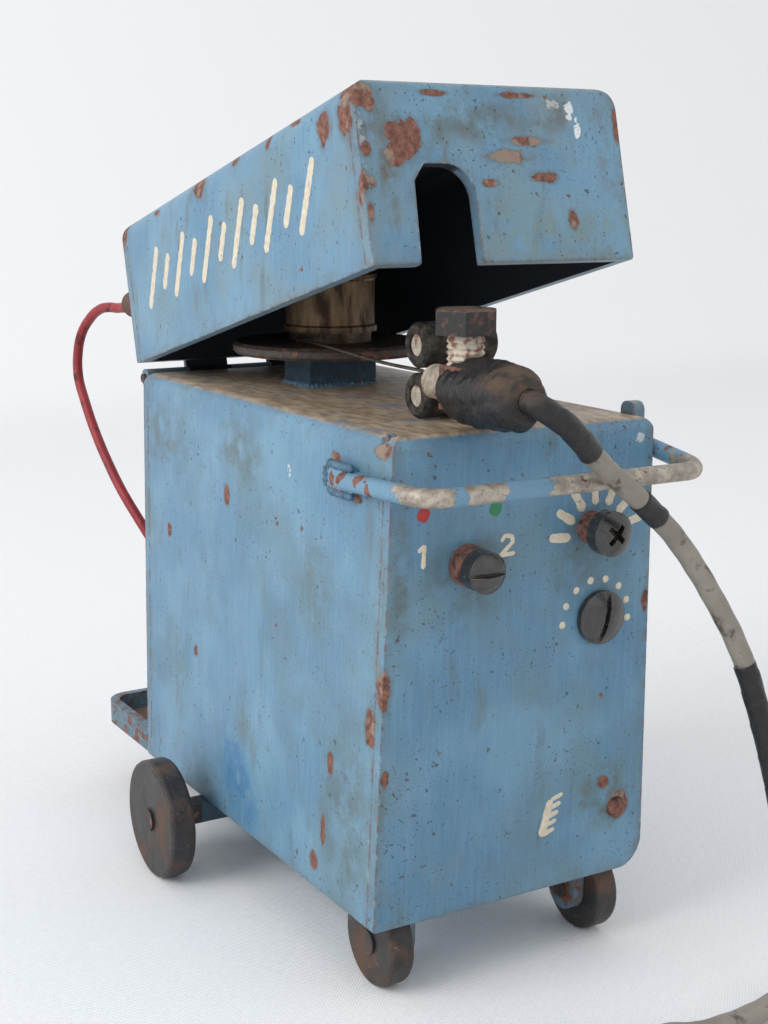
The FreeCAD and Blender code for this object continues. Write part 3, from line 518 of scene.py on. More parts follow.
# Wear on the paint -------------------------------------
# Chips are a centre and half sizes in millimetres; hazes and scratches add a tint and a
# strength. The chips on the lid's top and on the right and rear faces are invented.
LID_CHIPS = [
    ((-22.6, -51.7, 186.0), (4.4, 2.5, 4.2)),
    ((-25.2, -52.2, 183.0), (2.2, 2.5, 3.4)),
    ((2.5, -52.5, 182.8), (5.4, 2.5, 1.3)),
    ((8.2, -51.6, 186.0), (5.0, 2.5, 1.0)),
    ((11.8, -53.6, 178.5), (3.0, 2.5, 1.3)),
    ((-2.4, -53.9, 177.2), (2.2, 2.5, 0.8)),
    ((18.3, -55.7, 169.5), (1.2, 2.5, 1.9)),
    ((-32.4, -49.4, 195.0), (4.0, 6.0, 2.2)),
    ((-33.5, -46.4, 190.6), (2.0, 3.0, 3.6)),
    ((-33.5, -36.9, 188.2), (2.0, 2.5, 3.6)),
    ((-33.5, 27.9, 176.4), (2.0, 3.6, 3.0)),
    ((-33.5, -10.0, 187.4), (2.0, 1.3, 2.8)),
    ((-33.5, 79.0, 163.4), (2.0, 2.2, 4.2)),
    ((-33.5, 8.1, 182.6), (2.0, 2.4, 1.4)),
    ((-33.5, -53.3, 176.5), (2.0, 1.1, 3.0)),
    ((-33.5, 40.0, 161.0), (2.0, 1.0, 1.6)),
    ((-32.0, -51.0, 183.5), (1.2, 2.5, 1.6)),
    ((-31.4, -52.5, 177.4), (1.0, 2.5, 1.3)),
    ((-32.4, -54.5, 171.0), (0.8, 2.5, 1.9)),
    ((-30.0, -49.6, 193.4), (1.4, 2.5, 1.8)),
    ((-14.0, -49.6, 195.5), (3.0, 2.5, 0.7)),
    ((6.0, -49.6, 195.6), (4.2, 2.5, 0.6)),
    ((33.0, -51.0, 190.0), (0.9, 2.5, 3.0)),
    ((-33.5, -22.0, 190.0), (2.0, 3.0, 0.8)),
    ((-33.5, 55.0, 169.5), (2.0, 2.2, 0.8)),
    ((33.5, -30.0, 186.0), (2.5, 3.2, 2.6)),
    ((33.5, 14.0, 172.0), (2.5, 2.0, 3.4)),
    ((33.5, 58.0, 152.0), (2.5, 4.0, 2.0)),
    ((33.5, 76.0, 166.0), (2.5, 3.0, 3.0)),
    ((0.0, 20.0, 181.0), (4.0, 2.4, 3.0)),
    ((22.0, 60.0, 170.0), (2.6, 4.6, 3.0)),
    ((-18.0, -20.0, 191.0), (3.6, 2.6, 3.0)),
    ((16.0, 80.0, 150.0), (3.0, 3.0, 4.0)),
]
LID_HAZES = [
    ((-27.5, -54.0, 178.0), (2.2, 4.0, 15.0), (0.110, 0.095, 0.055), 0.85),
    ((-31.5, -50.0, 191.0), (6.0, 6.0, 8.0), (0.105, 0.080, 0.060), 0.75),
    ((-4.0, -51.0, 190.0), (14.0, 3.0, 5.0), (0.095, 0.110, 0.095), 0.75),
    ((14.0, -51.0, 192.0), (16.0, 3.0, 4.5), (0.110, 0.105, 0.090), 0.70),
    ((12.0, -57.0, 166.0), (26.0, 4.0, 12.0), (0.165, 0.235, 0.235), 0.80),
    ((31.0, -53.0, 186.0), (5.0, 4.0, 14.0), (0.130, 0.110, 0.085), 0.60),
]
LID_SCRATCHES = [
    ((20.3, -50.4, 193.0), (1.6, 2.5, 3.0), (0.74, 0.77, 0.78), 0.80),
    ((22.2, -51.2, 188.9), (1.0, 2.5, 3.0), (0.74, 0.77, 0.78), 0.95),
    ((16.0, -50.0, 194.0), (2.2, 2.5, 1.4), (0.62, 0.62, 0.60), 0.50),
    ((-32.6, -52.0, 185.0), (0.8, 4.0, 8.0), (0.50, 0.48, 0.43), 0.45),
]
CASING_CHIPS = [
    ((-34.5, 12.2, 101.8), (2.0, 1.6, 2.6)),
    ((-35.7, 30.7, 57.4), (2.0, 1.2, 1.6)),
    ((-34.9, 48.1, 86.1), (2.0, 1.2, 1.8)),
    ((-35.9, -43.0, 50.6), (2.0, 1.3, 2.4)),
    ((-36.4, -40.4, 33.6), (2.0, 1.0, 3.8)),
    ((-36.6, -35.9, 24.8), (2.0, 1.6, 2.4)),
    ((-35.5, -60.1, 64.0), (2.0, 2.0, 3.8)),
    ((-35.3, -64.8, 73.7), (1.9, 2.5, 4.6)),
    ((-34.6, -64.4, 53.4), (0.9, 2.0, 2.0)),
    ((-35.6, -63.6, 96.0), (0.8, 2.0, 3.0)),
    ((-34.1, -43.0, 119.0), (2.0, 2.2, 1.4)),
    ((-33.0, -62.6, 123.6), (2.9, 3.0, 1.5)),
    ((-34.1, -52.0, 112.0), (2.0, 2.6, 0.9)),
    ((28.3, -64.3, 35.6), (3.4, 2.5, 3.6)),
    ((24.4, -64.4, 41.4), (1.6, 2.5, 1.6)),
    ((33.9, -65.5, 83.8), (0.8, 2.0, 2.6)),
    ((36.5, -40.0, 98.0), (2.5, 3.6, 2.4)),
    ((36.5, 22.0, 60.0), (2.5, 1.6, 3.6)),
    ((36.5, 50.0, 104.0), (2.5, 2.2, 1.6)),
    ((36.5, -58.0, 30.0), (2.5, 2.2, 4.6)),
    ((36.5, 2.0, 24.0), (2.5, 3.0, 1.6)),
    ((-12.0, 68.0, 96.0), (2.2, 5.0, 2.8)),
    ((18.0, 70.0, 44.0), (3.4, 5.0, 2.0)),
    ((30.0, 68.0, 112.0), (2.6, 5.0, 3.4)),
]
CASING_HAZES = [
    ((-36.3, 8.5, 35.0), (3.0, 9.0, 8.5), (0.058, 0.180, 0.335), 0.90),
    ((-36.5, 2.5, 27.0), (3.0, 10.0, 9.0), (0.058, 0.180, 0.335), 0.90),
    ((-36.4, 6.0, 31.0), (3.0, 8.0, 7.0), (0.058, 0.180, 0.335), 0.80),
    ((25.0, -64.4, 38.0), (8.0, 3.0, 8.0), (0.105, 0.125, 0.085), 0.90),
    ((-15.3, -65.8, 96.0), (11.0, 3.0, 12.0), (0.080, 0.115, 0.115), 0.70),
    ((17.0, -65.8, 98.0), (12.0, 3.0, 12.0), (0.080, 0.120, 0.120), 0.60),
    ((-31.5, -64.8, 99.0), (3.0, 3.0, 18.0), (0.085, 0.100, 0.085), 0.75),
    ((-35.0, 5.0, 114.0), (3.0, 14.0, 9.0), (0.095, 0.130, 0.120), 0.75),
    ((-35.0, 52.0, 112.0), (3.0, 16.0, 9.0), (0.100, 0.130, 0.120), 0.70),
    ((-35.4, -35.0, 88.0), (3.0, 10.0, 14.0), (0.100, 0.150, 0.155), 0.55),
    ((-36.0, -50.0, 40.0), (3.0, 12.0, 22.0), (0.090, 0.115, 0.105), 0.60),
]
CASING_SCRATCHES = [
    ((-35.0, -21.0, 113.0), (2.0, 1.1, 2.4), (0.62, 0.66, 0.68), 0.70),
    ((30.0, -64.6, 122.0), (2.4, 3.0, 1.6), (0.62, 0.66, 0.68), 0.70),
]


# Mesh helpers ------------------------------------------
def piece(name, bm, material, body, smooth=True):
    """Turn a bmesh into a named object that rides on a body."""
    bmesh.ops.recalc_face_normals(bm, faces=bm.faces)
    mesh = bpy.data.meshes.new(name)
    bm.to_mesh(mesh)
    bm.free()
    for face in mesh.polygons:
        face.use_smooth = smooth
    made = bpy.data.objects.new(name, mesh)
    bpy.context.scene.collection.objects.link(made)
    mesh.materials.append(material)
    if body is not None:
        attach(made, body)
    return made


def cord_line(corners, spacing=0.5):
    """Centre line of a soft cord in millimetres: straight runs joined by smooth bends."""
    # how much of the shorter run at a corner its bend takes up
    share = 0.46
    steps = 10
    points = [Vector(corners[0])]
    for before, here, after in zip(corners, corners[1:], corners[2:]):
        before, here, after = Vector(before), Vector(here), Vector(after)
        back = (before - here).normalized()
        ahead = (after - here).normalized()
        reach = share * min((before - here).length, (after - here).length)
        start = here + back * reach
        end = here + ahead * reach
        for i in range(steps + 1):
            t = i / steps
            points.append(start * (1 - t) ** 2 + here * 2 * t * (1 - t) + end * t ** 2)
    points.append(Vector(corners[-1]))
    return even_spacing(points, spacing)


def ring_angles(around):
    """Equal steps round a full turn, in radians."""
    return [FULL_TURN * k / around for k in range(around)]


def stitch(bm, rows, closed=True):
    """Faces between neighbouring rows of points; closed rows join end to start."""
    for low, high in zip(rows, rows[1:]):
        count = len(low)
        for k in range(count if closed else count - 1):
            following = (k + 1) % count
            bm.faces.new((low[k], low[following], high[following], high[k]))


def even_spacing(points, spacing):
    """The same line with points at equal steps along it."""
    total = sum((b - a).length for a, b in zip(points, points[1:]))
    count = max(2, round(total / spacing))
    result = [points[0].copy()]
    want = total / count
    gone = 0.0
    for a, b in zip(points, points[1:]):
        length = (b - a).length
        while length > 0 and gone + length >= want * len(result) and len(result) < count:
            share = (want * len(result) - gone) / length
            result.append(a.lerp(b, share))
        gone += length
    result.append(points[-1].copy())
    return result


def sweep(bm, line, radius_at, around=20):
    """A closed tube round a line; radius_at(distance, angle) is in millimetres."""
    tangent = (line[1] - line[0]).normalized()
    side = tangent.orthogonal().normalized()
    rings = []
    gone = 0.0
    for i, centre in enumerate(line):
        ahead = line[min(i + 1, len(line) - 1)] - line[max(i - 1, 0)]
        turned = ahead.normalized()
        side = (tangent.rotation_difference(turned) @ side).normalized()
        tangent = turned
        across = tangent.cross(side)
        if i:
            gone += (centre - line[i - 1]).length
        ring = []
        for angle in ring_angles(around):
            out = side * math.cos(angle) + across * math.sin(angle)
            ring.append(bm.verts.new((centre + out * radius_at(gone, angle)) * MM))
        rings.append(ring)
    stitch(bm, rings)
    bm.faces.new(rings[0][::-1])
    bm.faces.new(rings[-1])


def part_of(line, start, end):
    """The stretch of a line between two shares of its length."""
    last = len(line) - 1
    return line[round(start * last):round(end * last) + 1]


def lumpy(at, size, seed):
    """Smooth unevenness from about -1 to 1."""
    return noise.noise(Vector((at.x / size + seed, at.y / size, at.z / size)))


# Torch cable -------------------------------------------
CABLE_CORNERS = [
    (FEED_X, -70.0, FEED_Z), (FEED_X, -88.3, FEED_Z), (-7.3, -90.0, 130.2), (2.7, -87.2, 121.4),
    (15.1, -85.0, 112.6), (24.9, -84.2, 104.5), (33.0, -85.0, 94.1), (42.3, -88.8, 76.9),
    (46.6, -94.5, 54.7), (49.0, -99.0, 34.0), (48.0, -105.0, 13.0), (41.0, -109.4, 4.0),
    (28.0, -110.4, 2.7), (15.0, -110.2, 2.9), (8.0, -109.2, 4.6), (1.0, -109.2, 4.6),
]
CABLE_RADIUS = 2.35
# shares of the cable's length that are bound, measured from the guide block
CABLE_BINDINGS = [(0.02, 0.160), (0.250, 0.285), (0.475, 0.80)]


def torch_cable(grey, tape):
    """Grey sheath with stretches bound in black tape."""
    binding_pitch = 7.5
    tape_thickness = 0.14
    lap_step = 0.13

    def bound(s, angle):
        turn = (s / binding_pitch + angle / FULL_TURN) % 1.0
        lap = lap_step * (1.0 - turn)
        return CABLE_RADIUS + tape_thickness + lap + 0.035 * math.sin(5 * angle + s)

    line = cord_line(CABLE_CORNERS)
    bm = bmesh.new()
    sweep(bm, line, lambda s, a: CABLE_RADIUS + 0.05 * math.sin(s * 0.9 + a))
    cable = piece("torch_cable_sheath", bm, grey, "root")
    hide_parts("torch_cable")
    for number, (start, end) in enumerate(CABLE_BINDINGS):
        bm = bmesh.new()
        sweep(bm, part_of(line, start, end), bound, around=28)
        band = piece(f"cable_tape_{number + 1}", bm, tape, "root")


def radius_between(stations, along):
    """Radius at a distance along a round shape, straight between its stations."""
    for (a, radius_a), (b, radius_b) in zip(stations, stations[1:]):
        if a <= along <= b:
            return radius_a + (radius_b - radius_a) * (along - a) / (b - a)


def tape_wrap(material):
    """Tape wound over the guide block: lapped turns, flats and wrinkles."""
    rear = -59.6
    axis_z = FEED_Z + 0.1
    # distance from the rear end, radius
    stations = [(0.0, 4.1), (0.5, 5.5), (3.0, 6.3), (8.0, 6.9), (17.0, 7.0), (21.5, 6.6),
                (24.2, 5.7), (25.6, 4.6), (26.0, 2.6)]
    length = stations[-1][0]
    rows = 110
    around = 96
    lap_pitch = 5.2
    lap_step = 0.34
    end_fade = 2.0
    bm = bmesh.new()
    rings = []
    for i in range(rows + 1):
        along = length * i / rows
        radius = radius_between(stations, along)
        fade = min(1.0, along / end_fade, (length - along) / end_fade)
        ring = []
        for angle in ring_angles(around):
            turn = (along / lap_pitch + angle / FULL_TURN) % 1.0
            lap = lap_step * (0.5 - turn)
            place = Vector((math.cos(angle) * 6, along * 1.6, math.sin(angle) * 6))
            flat = 0.55 * abs(math.sin(2.5 * angle + 0.35 * along / lap_pitch)) - 0.30
            crease = flat + 0.45 * lumpy(place, 3.4, 4.0) + 0.15 * lumpy(place, 1.1, 9.0)
            reach = radius + fade * (lap + crease)
            x = FEED_X + reach * math.cos(angle)
            z = axis_z + reach * math.sin(angle)
            ring.append(bm.verts.new(Vector((x, rear - along, z)) * MM))
        rings.append(ring)
    stitch(bm, rings)
    wrap = piece("tape_winding", bm, material, "root")
    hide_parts("tape_wrap")


def torch_grip(material):
    """Moulded torch handle with finger ribs, lying on the floor."""
    low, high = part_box("torch_grip")
    centre = (low + high) / 2 * PER_MM
    start = high.x * PER_MM
    length = (high.x - low.x) * PER_MM
    stations = 120
    line = [Vector((start - length * i / stations, centre.y, centre.z))
            for i in range(stations + 1)]
    radius = 4.0
    rear_round = 2.0
    front_round = 4.0
    rib_height = 0.28
    rib_pitch = 2.4
    first_rib = 6.0
    last_rib = 22.0

    def rounded(distance, over):
        return 0.70 + 0.30 * math.sqrt(max(0.0, min(1.0, distance / over)))

    def ribbed(s, angle):
        rib = 0.0
        if first_rib < s < last_rib:
            rib = rib_height * max(0.0, math.sin(FULL_TURN * s / rib_pitch))
        return radius * rounded(s, rear_round) * rounded(length - s, front_round) + rib

    bm = bmesh.new()
    sweep(bm, line, ribbed, around=36)
    grip = piece("torch_handle", bm, material, "root")
    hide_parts("torch_grip")


def red_lead(material):
    """The lead behind, curving from the lid down to the casing."""
    gland_height = 17.5
    gland_x = -29.6
    outward = Vector((0, math.cos(LID_OPEN_ANGLE), -math.sin(LID_OPEN_ANGLE)))
    lift = Vector((0, math.sin(LID_OPEN_ANGLE), math.cos(LID_OPEN_ANGLE)))
    lid_wall = Vector((gland_x, *LID_CORNER)) + lift * gland_height
    ring_low, ring_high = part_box("casing_grommet")
    entry = (ring_low + ring_high) / 2 * PER_MM
    entry.y = ring_low.y * PER_MM + 0.4
    corners = [
        lid_wall, lid_wall + outward * 14.0, (-32.8, 102.0, 142.2), (-35.4, 112.0, 133.6),
        (-36.6, 112.6, 121.8), (-36.2, 100.0, 105.6), (-34.6, 85.0, 91.2), (-30.5, 75.0, 79.5),
        entry + Vector((0, 6.0, 0)), entry,
    ]
    line = cord_line(corners)
    bm = bmesh.new()
    sweep(bm, line, lambda s, a: 1.42 + 0.04 * math.sin(1.3 * s) * math.cos(a), around=18)
    lead = piece("red_lead_sheath", bm, material, None)
    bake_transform(lead)
    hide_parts("red_lead")


# Painted marks -----------------------------------------
class Wall:
    """The outer skin of some CAD pieces, for laying paint on."""

    def __init__(self, nodes, to_row, direction):
        points = []
        faces = []
        for name in nodes:
            mesh = frame["nodes"][name].data
            first = len(points)
            points += [v.co.copy() for v in mesh.vertices]
            faces += [[first + i for i in face.vertices] for face in mesh.polygons]
        self.tree = BVHTree.FromPolygons(points, faces)
        self.to_row = to_row
        self.direction = Vector(direction)

    def at(self, a, b, height):
        """A point height millimetres above the skin at wall position (a, b)."""
        origin = self.to_row(a, b) * MM
        hit = self.tree.ray_cast(origin, self.direction)[0]
        return hit - self.direction * height * MM


def front_to_row(x, z):
    """A point well in front of the front panel."""
    return Vector((x, -120.0, z))


def lid_side_to_row(back, up):
    """A point well to the left of the lid's side.

    back is the distance forward from the lid's rear edge, up the height on the side.
    """
    y = LID_CORNER[0] - back * math.cos(LID_OPEN_ANGLE) + up * math.sin(LID_OPEN_ANGLE)
    z = LID_CORNER[1] + back * math.sin(LID_OPEN_ANGLE) + up * math.cos(LID_OPEN_ANGLE)
    return Vector((-120.0, y, z))


# across a brush stroke: share of its half width, height
PAINT_SECTION = [(-1.0, 0.03), (-0.6, 0.13), (0.0, 0.17), (0.6, 0.13), (1.0, 0.03)]


def lay_stroke(bm, wall, path, width, seed):
    """A brush stroke: blunt round ends, uneven width, slightly raised."""
    line = even_spacing([Vector((a, b, 0)) for a, b in path], 0.35)
    length = sum((b - a).length for a, b in zip(line, line[1:]))
    gone = 0.0
    rows = []
    for i, point in enumerate(line):
        if i:
            gone += (point - line[i - 1]).length
        ahead = (line[min(i + 1, len(line) - 1)] - line[max(i - 1, 0)]).normalized()
        across = Vector((-ahead.y, ahead.x, 0))
        cap = min(gone, length - gone) / (width / 2)
        blunt = math.sqrt(max(0.0, 1 - (1 - min(cap, 1.0)) ** 2))
        half = width / 2 * max(0.22, blunt) * (1 + 0.22 * lumpy(point, 1.6, seed))
        row = []
        for share, height in PAINT_SECTION:
            spot = point + across * half * share
            row.append(bm.verts.new(wall.at(spot.x, spot.y, height)))
        rows.append(row)
    stitch(bm, rows, closed=False)


def lay_dot(bm, wall, centre, radius, seed):
    """A dab of paint, not quite round."""
    around = 20
    # share of the radius, height
    section = [(1.0, 0.03), (0.8, 0.12), (0.4, 0.17)]
    middle = bm.verts.new(wall.at(*centre, 0.19))
    rings = []
    for share, height in section:
        ring = []
        for angle in ring_angles(around):
            out = Vector((math.cos(angle), math.sin(angle), 0))
            reach = radius * share * (1 + 0.13 * lumpy(out, 0.9, seed))
            spot = (centre[0] + out.x * reach, centre[1] + out.y * reach)
            ring.append(bm.verts.new(wall.at(*spot, height)))
        rings.append(ring)
    stitch(bm, rings)
    inner = rings[-1]
    for k in range(around):
        bm.faces.new((inner[k], inner[(k + 1) % around], middle))


def around_point(centre, angle, reach):
    """The point at an angle in degrees and a distance from a centre."""
    turn = math.radians(angle)
    return centre[0] + reach * math.cos(turn), centre[1] + reach * math.sin(turn)


def front_marks(cream, red, green):
    """Marks round the controls: the numerals 1 and 2, rays, dots and a comb."""
    wall = Wall(["casing_front_panel"], front_to_row, (0, 1, 0))
    bm = bmesh.new()
    one = [(-27.4, 102.3), (-25.9, 103.5), (-26.1, 98.6)]
    two = [(-6.6, 102.2), (-5.6, 103.5), (-3.8, 103.2), (-3.5, 101.9), (-6.6, 99.2), (-2.8, 99.4)]
    lay_stroke(bm, wall, one, 1.1, 1)
    lay_stroke(bm, wall, two, 1.0, 2)
    # rays over the voltage screw
    ray_centre = (19.2, 100.6)
    rays = 7
    for i in range(rays):
        angle = 176 - i * 161 / (rays - 1)
        inner = around_point(ray_centre, angle, 7.3)
        outer = around_point(ray_centre, angle, 13.1)
        lay_stroke(bm, wall, [inner, outer], 2.1, 10 + i)
    # dots over the wire speed screw
    dot_centre = (19.9, 81.5)
    dots = 8
    for i in range(dots):
        angle = 182 - i * 188 / (dots - 1)
        lay_dot(bm, wall, around_point(dot_centre, angle, 9.2), 0.85, 30 + i)
    # comb beside the earth terminal
    comb_top = Vector((9.5, 40.0))
    comb_bottom = Vector((7.3, 31.3))
    tooth = Vector((3.4, 1.0))
    teeth = 5
    lay_stroke(bm, wall, [comb_top, comb_bottom], 2.1, 50)
    for i in range(teeth):
        root = comb_top.lerp(comb_bottom, (i + 0.1) / (teeth - 0.7))
        lay_stroke(bm, wall, [root, root + tooth], 1.15, 60 + i)
    marks = piece("front_panel_marks", bm, cream, "root")
    # one dot over each of the selector's positions
    for name, centre, material in (("red_dot", (-26.3, 110.1), red),
                                   ("green_dot", (-8.3, 109.6), green)):
        bm = bmesh.new()
        lay_dot(bm, wall, centre, 1.6, 5)
        piece(name, bm, material, "root")


def lid_marks(cream):
    """Slanting dabs along the lid's side: plain decoration that spells nothing."""
    wall = Wall(["lid_shell", "lid_front_plate"], lid_side_to_row, (1, 0, 0))
    bm = bmesh.new()
    dabs = 11
    first = 19.0
    pitch = 9.0
    middle = 20.0
    slant = 0.62
    for i in range(dabs):
        back = first + i * pitch
        half = 7.4 if i % 2 == 0 else 4.2
        lean = slant * half
        dab = [(back - lean, middle - half), (back + lean, middle + half)]
        lay_stroke(bm, wall, dab, 2.5, 80 + i)
    piece("lid_side_marks", bm, cream, "lid")


# Earth terminal ----------------------------------------
def earth_pad(paint):
    """A painted weld lump that runs out into the panel, open in the middle."""
    low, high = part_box("earth_terminal")
    centre = (low + high) / 2 * PER_MM
    pad_radius = 6.3
    pad_height = 1.5
    pad_hole = 0.40
    wall = Wall(["casing_front_panel"], front_to_row, (0, 1, 0))
    around = 48
    steps = 16
    bm = bmesh.new()
    rings = []
    for i in range(steps + 1):
        share = 1.0 - (1.0 - pad_hole) * i / steps
        swell = 0.5 + 0.5 * math.cos(math.pi * share)
        ring = []
        for angle in ring_angles(around):
            out = Vector((math.cos(angle), math.sin(angle), 0))
            uneven = 0.10 * lumpy(out, 1.2, 8.0) * (share - pad_hole)
            reach = pad_radius * (share + uneven)
            height = 0.02 + pad_height * swell + 0.22 * swell * lumpy(out * share * 4, 1.1, 3.0)
            spot = wall.at(centre.x + out.x * reach, centre.z + out.y * reach, height)
            ring.append(bm.verts.new(spot))
        rings.append(ring)
    stitch(bm, rings)
    pad = piece("earth_weld_pad", bm, paint, "root")
    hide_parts("earth_terminal")


def earth_stub(rust):
    """The short worn pin in the middle of the earth pad."""
    low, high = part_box("earth_terminal")
    centre = (low + high) / 2 * PER_MM
    radius = 2.45
    depth_in_panel = 1.0
    # the worn pin ends this much short of the solid it replaces
    shortened = 0.6
    worn_length = 0.7
    start = Vector((centre.x, high.y * PER_MM - depth_in_panel, centre.z))
    end = Vector((centre.x, low.y * PER_MM + shortened, centre.z))
    line = even_spacing([start, end], 0.15)
    length = (end - start).length

    def worn_end(s, angle):
        left = min(1.0, (length - s) / worn_length)
        chewed = 1 + 0.10 * noise.noise(Vector((2 * math.cos(angle), 2 * math.sin(angle), s)))
        return radius * (0.55 + 0.45 * math.sqrt(max(0.0, left))) * chewed

    bm = bmesh.new()
    sweep(bm, line, worn_end, around=24)
    stub = piece("earth_stub", bm, rust, "root")
    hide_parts("earth_terminal")


# Welds -------------------------------------------------
def weld_run(bm, start, end, radius, seed):
    """A hand-laid bead: overlapping ripples of uneven size."""
    ripple_pitch = 1.3
    line = even_spacing([Vector(start), Vector(end)], 0.3)
    length = (Vector(end) - Vector(start)).length

    def ripple(s, angle):
        cap = min(1.0, min(s, length - s) / radius)
        round_end = math.sqrt(max(0.02, 1 - (1 - cap) ** 2))
        wave = 0.20 * math.sin(FULL_TURN * s / ripple_pitch)
        uneven = 0.25 * noise.noise(Vector((s * 0.7, math.cos(angle), seed)))
        return radius * round_end * (1 + wave + uneven)

    sweep(bm, line, ripple, around=12)


def handle_welds(bm):
    """Beads above, below and behind each foot of the handle."""
    low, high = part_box("carry_handle")
    foot_rear = high.y * PER_MM
    foot_front = foot_rear - 11.0
    bead_offset = 2.9
    rear_half = 2.4
    # middle of each foot: x, z
    left_foot = (low.x * PER_MM + 2.2, 115.6)
    right_foot = (high.x * PER_MM - 4.4, 121.0)
    for seed, (x, z) in enumerate((left_foot, right_foot), start=1):
        for edge in (-bead_offset, bead_offset):
            weld_run(bm, (x, foot_front, z + edge), (x, foot_rear - 0.6, z + edge), 0.9,
                     seed + edge)
        weld_run(bm, (x, foot_rear, z - rear_half), (x, foot_rear, z + rear_half), 1.0, seed + 7)


def top_welds(bm):
    """Beads on the casing's top: pedestal, feed bracket, lug and the front left corner."""
    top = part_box("casing_wrap")[1].z * PER_MM
    for name, radius in (("spool_pedestal", 1.0), ("feed_bracket", 0.7)):
        low, high = (corner * PER_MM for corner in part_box(name))
        for y in (low.y, high.y):
            weld_run(bm, (low.x, y, top), (high.x, y, top), radius, y)
    low, high = (corner * PER_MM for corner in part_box("spool_pedestal"))
    for x in (low.x, high.x):
        weld_run(bm, (x, low.y, top), (x, high.y, top), 1.0, x)
    low, high = (corner * PER_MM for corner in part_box("lid_stop_lug"))
    x = (low.x + high.x) / 2
    weld_run(bm, (x, low.y, top - 0.6), (x, high.y, top - 0.6), 1.2, 3)
    corner_start = (-33.2, -60.6, top - 1.6)
    corner_end = (-29.6, -62.6, top - 1.0)
    weld_run(bm, corner_start, corner_end, 1.5, 12)


def welds(material):
    """All the weld beads, as one piece."""
    bm = bmesh.new()
    handle_welds(bm)
    top_welds(bm)
    made = piece("weld_beads", bm, material, "root")


# Finishes for the carried-over CAD pieces --------------
def finish_cad_pieces():
    """Give each CAD piece its finish, and return the finishes by material slot."""
    casing_centre = (0.0, 0.0, 72.0)
    lid_centre = (0.0, 12.0, 158.0)
    casing = worn_blue("casing_blue", CASING_CHIPS, CASING_HAZES, CASING_SCRATCHES,
                       casing_centre, dust=0.95)
    lid = worn_blue("lid_blue", LID_CHIPS, LID_HAZES, LID_SCRATCHES, lid_centre, dust=0.30,
                    grime_share=0.72, weathered=(0.175, 0.250, 0.275))
    rusted = []
    for node, size in (("front_wheel_tab_left", 4.6), ("front_wheel_tab_right", 4.6),
                       ("lid_stop_lug", 1.6)):
        low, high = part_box(node)
        middle = (low + high) / 2 * PER_MM
        rusted.append((tuple(middle), (size, size, size)))
    fitting = worn_blue("fitting_blue", rusted, dust=0.45)
    rough_blue = rusty("rough_blue", (0.130, 0.215, 0.270), 0.50, 2.0)
    finishes = {
        "casing_paint": casing,
        "lid_paint": lid,
        "dark_blue_paint": axle_finish(),
        "worn_rod": handle_finish(),
        "tray_plate": rusty("tray_plate", (0.165, 0.125, 0.090), 0.50, 8.0, 0.8),
        "black_paint": knob_black(),
        "wheel_black": wheel_finish(),
        "rusty_steel": rusty("rusty_steel", DARK_STEEL, 0.40, 14.0, 0.7),
        "roller_rubber": roller_rubber(),
        "cream_paint": rusty("cream_over_steel", (0.56, 0.49, 0.39), 0.54, 17.0, 0.6),
        "black_tape": tape_finish(),
        "cable_sheath": sheath("cable_grey", (0.270, 0.245, 0.205), (0.060, 0.048, 0.038),
                               0.56, 0.5),
        "red_sheath": sheath("lead_red", (0.300, 0.018, 0.024), (0.040, 0.016, 0.013), 0.55, 0.38),
        "brown_sleeve": rusty("brown_sleeve", (0.110, 0.064, 0.040), 0.50, 20.0, 0.7),
        "nozzle_metal": brushed_metal("nozzle_metal", (0.42, 0.27, 0.12), (0.20, 0.12, 0.06),
                                      0.38, (0.3, 2.0, 2.0)),
        "wire_steel": brushed_metal("wire_steel", (0.17, 0.14, 0.11), (0.07, 0.055, 0.045),
                                    0.42, (2.0, 0.3, 2.0)),
        "tin_drum": tin_finish(),
        "dark_disc": rusty("dark_disc", (0.060, 0.050, 0.042), 0.55, 23.0, 0.5),
    }
    # painted shade: the spool pedestal gets a darker blue for the shadow under the open lid, with
    # rust where the paint is thin
    pedestal_painted_shade = rusty("pedestal_painted_shade", (0.040, 0.082, 0.125), 0.60, 29.0, 0.7)
    own = {"tray_rim": rough_blue, "pressure_screw": bolt_finish(), "spool_pedestal": pedestal_painted_shade}
    for name in ("casing_hinge_leaf", "front_wheel_tab_left", "front_wheel_tab_right",
                 "casing_grommet", "lid_stop_lug"):
        own[name] = fitting
    for subpart in frame["record"]["subparts"]:
        node = subpart["node"]
        mesh = frame["nodes"][node].data
        mesh.materials.clear()
        mesh.materials.append(own.get(node, finishes[subpart["material_slot"]]))
    return finishes


# Stage -------------------------------------------------
def stage(material):
    """Cloth floor that curves up into a plain backdrop."""
    half_width = 3000.0
    front = -1800.0
    bend_start = 700.0
    bend_radius = 500.0
    wall_height = 2600.0
    bends = 24
    outline = [(front, 0.0), (bend_start, 0.0)]
    for i in range(1, bends + 1):
        turn = math.pi / 2 * i / bends
        outline.append((bend_start + bend_radius * math.sin(turn),
                        bend_radius * (1 - math.cos(turn))))
    outline.append((bend_start + bend_radius, wall_height))
    bm = bmesh.new()
    rows = []
    for y, z in outline:
        rows.append([bm.verts.new(Vector((x, y, z)) * MM) for x in (-half_width, half_width)])
    stitch(bm, rows, closed=False)
    floor = piece("studio_floor", bm, material, None)


def soft_light(name, place, target, size, power):
    """A square area light aimed at a point; metres and watts."""
    light = bpy.data.lights.new(name, "AREA")
    light.size = size
    light.energy = power
    made = bpy.data.objects.new(name, light)
    bpy.context.scene.collection.objects.link(made)
    made.location = place
    made.rotation_euler = (Vector(target) - Vector(place)).to_track_quat("-Z", "Y").to_euler()


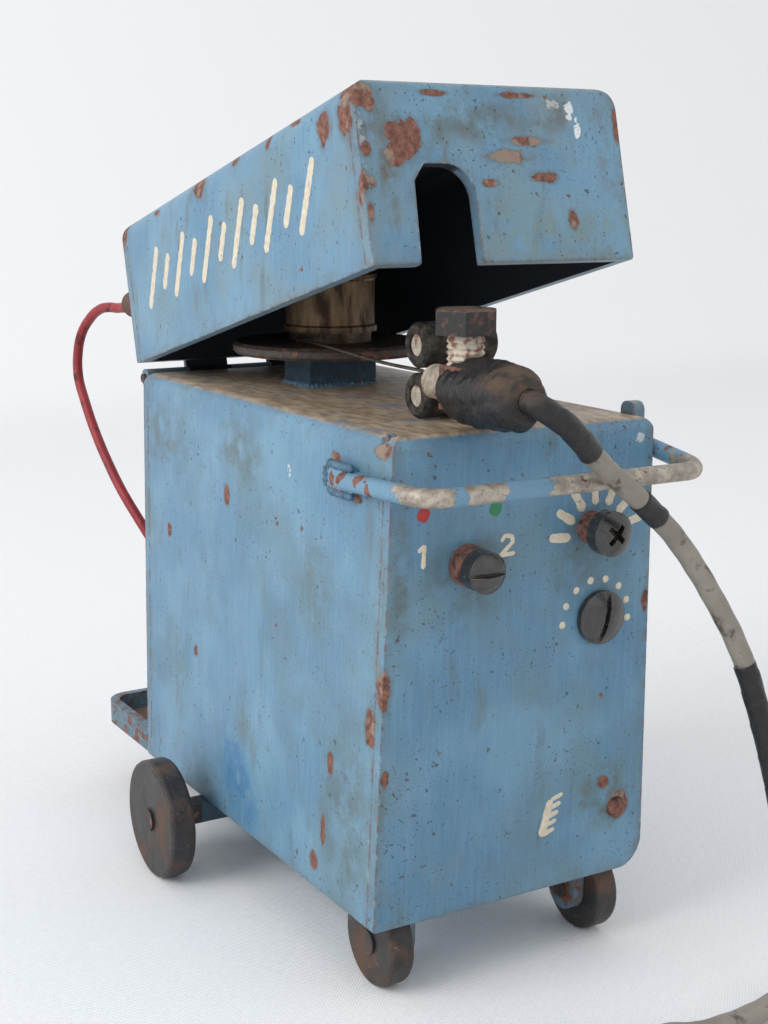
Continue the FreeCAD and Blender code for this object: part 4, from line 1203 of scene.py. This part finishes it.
def lights():
    """Pale surroundings, a soft key from the left and a weak fill from the front."""
    world = bpy.data.worlds.new("studio")
    world.use_nodes = True
    background = world.node_tree.nodes["Background"]
    background.inputs["Color"].default_value = (0.97, 0.98, 1.0, 1.0)
    background.inputs["Strength"].default_value = 0.86
    scene = bpy.context.scene
    scene.world = world
    scene.view_settings.view_transform = "Standard"
    middle = (0.0, 0.0, 0.10)
    soft_light("key", (-1.30, -0.05, 0.90), middle, size=0.9, power=12.0)
    soft_light("fill", (0.5, -1.2, 0.9), middle, size=1.2, power=1.5)


def camera():
    """The photograph's viewpoint."""
    place = Vector((-193.73, -333.96, 176.47)) * MM
    azimuth = math.radians(-30.54)
    pitch = math.radians(11.75)
    roll = math.radians(0.15)
    back = Vector((math.sin(azimuth) * math.cos(pitch),
                   -math.cos(azimuth) * math.cos(pitch),
                   math.sin(pitch)))
    data = bpy.data.cameras.new("camera")
    data.sensor_width = 36.0
    data.lens = 55.06
    data.clip_start = 0.01
    data.clip_end = 20.0
    made = bpy.data.objects.new("camera", data)
    bpy.context.scene.collection.objects.link(made)
    facing = (-back).to_track_quat("-Z", "Y").to_matrix()
    made.matrix_world = (Matrix.Translation(place)
                         @ (facing @ Matrix.Rotation(roll, 3, "Z")).to_4x4())
    bpy.context.scene.camera = made


def build():
    """Finish the CAD pieces, add the mesh pieces, and set up the studio."""
    finishes = finish_cad_pieces()
    cream = sign_paint("cream_sign_paint", (0.700, 0.625, 0.490))
    red = sign_paint("red_sign_paint", (0.420, 0.030, 0.030))
    green = sign_paint("green_sign_paint", (0.030, 0.230, 0.095))
    torch_cable(finishes["cable_sheath"], finishes["black_tape"])
    tape_wrap(finishes["black_tape"])
    torch_grip(finishes["black_tape"])
    red_lead(finishes["red_sheath"])
    front_marks(cream, red, green)
    lid_marks(cream)
    welds(rusty("weld_rust", (0.100, 0.205, 0.300), 0.56, 26.0, 0.7))
    earth_pad(finishes["casing_paint"])
    earth_stub(finishes["rusty_steel"])
    stage(cloth_floor())
    lights()
    camera()


build()
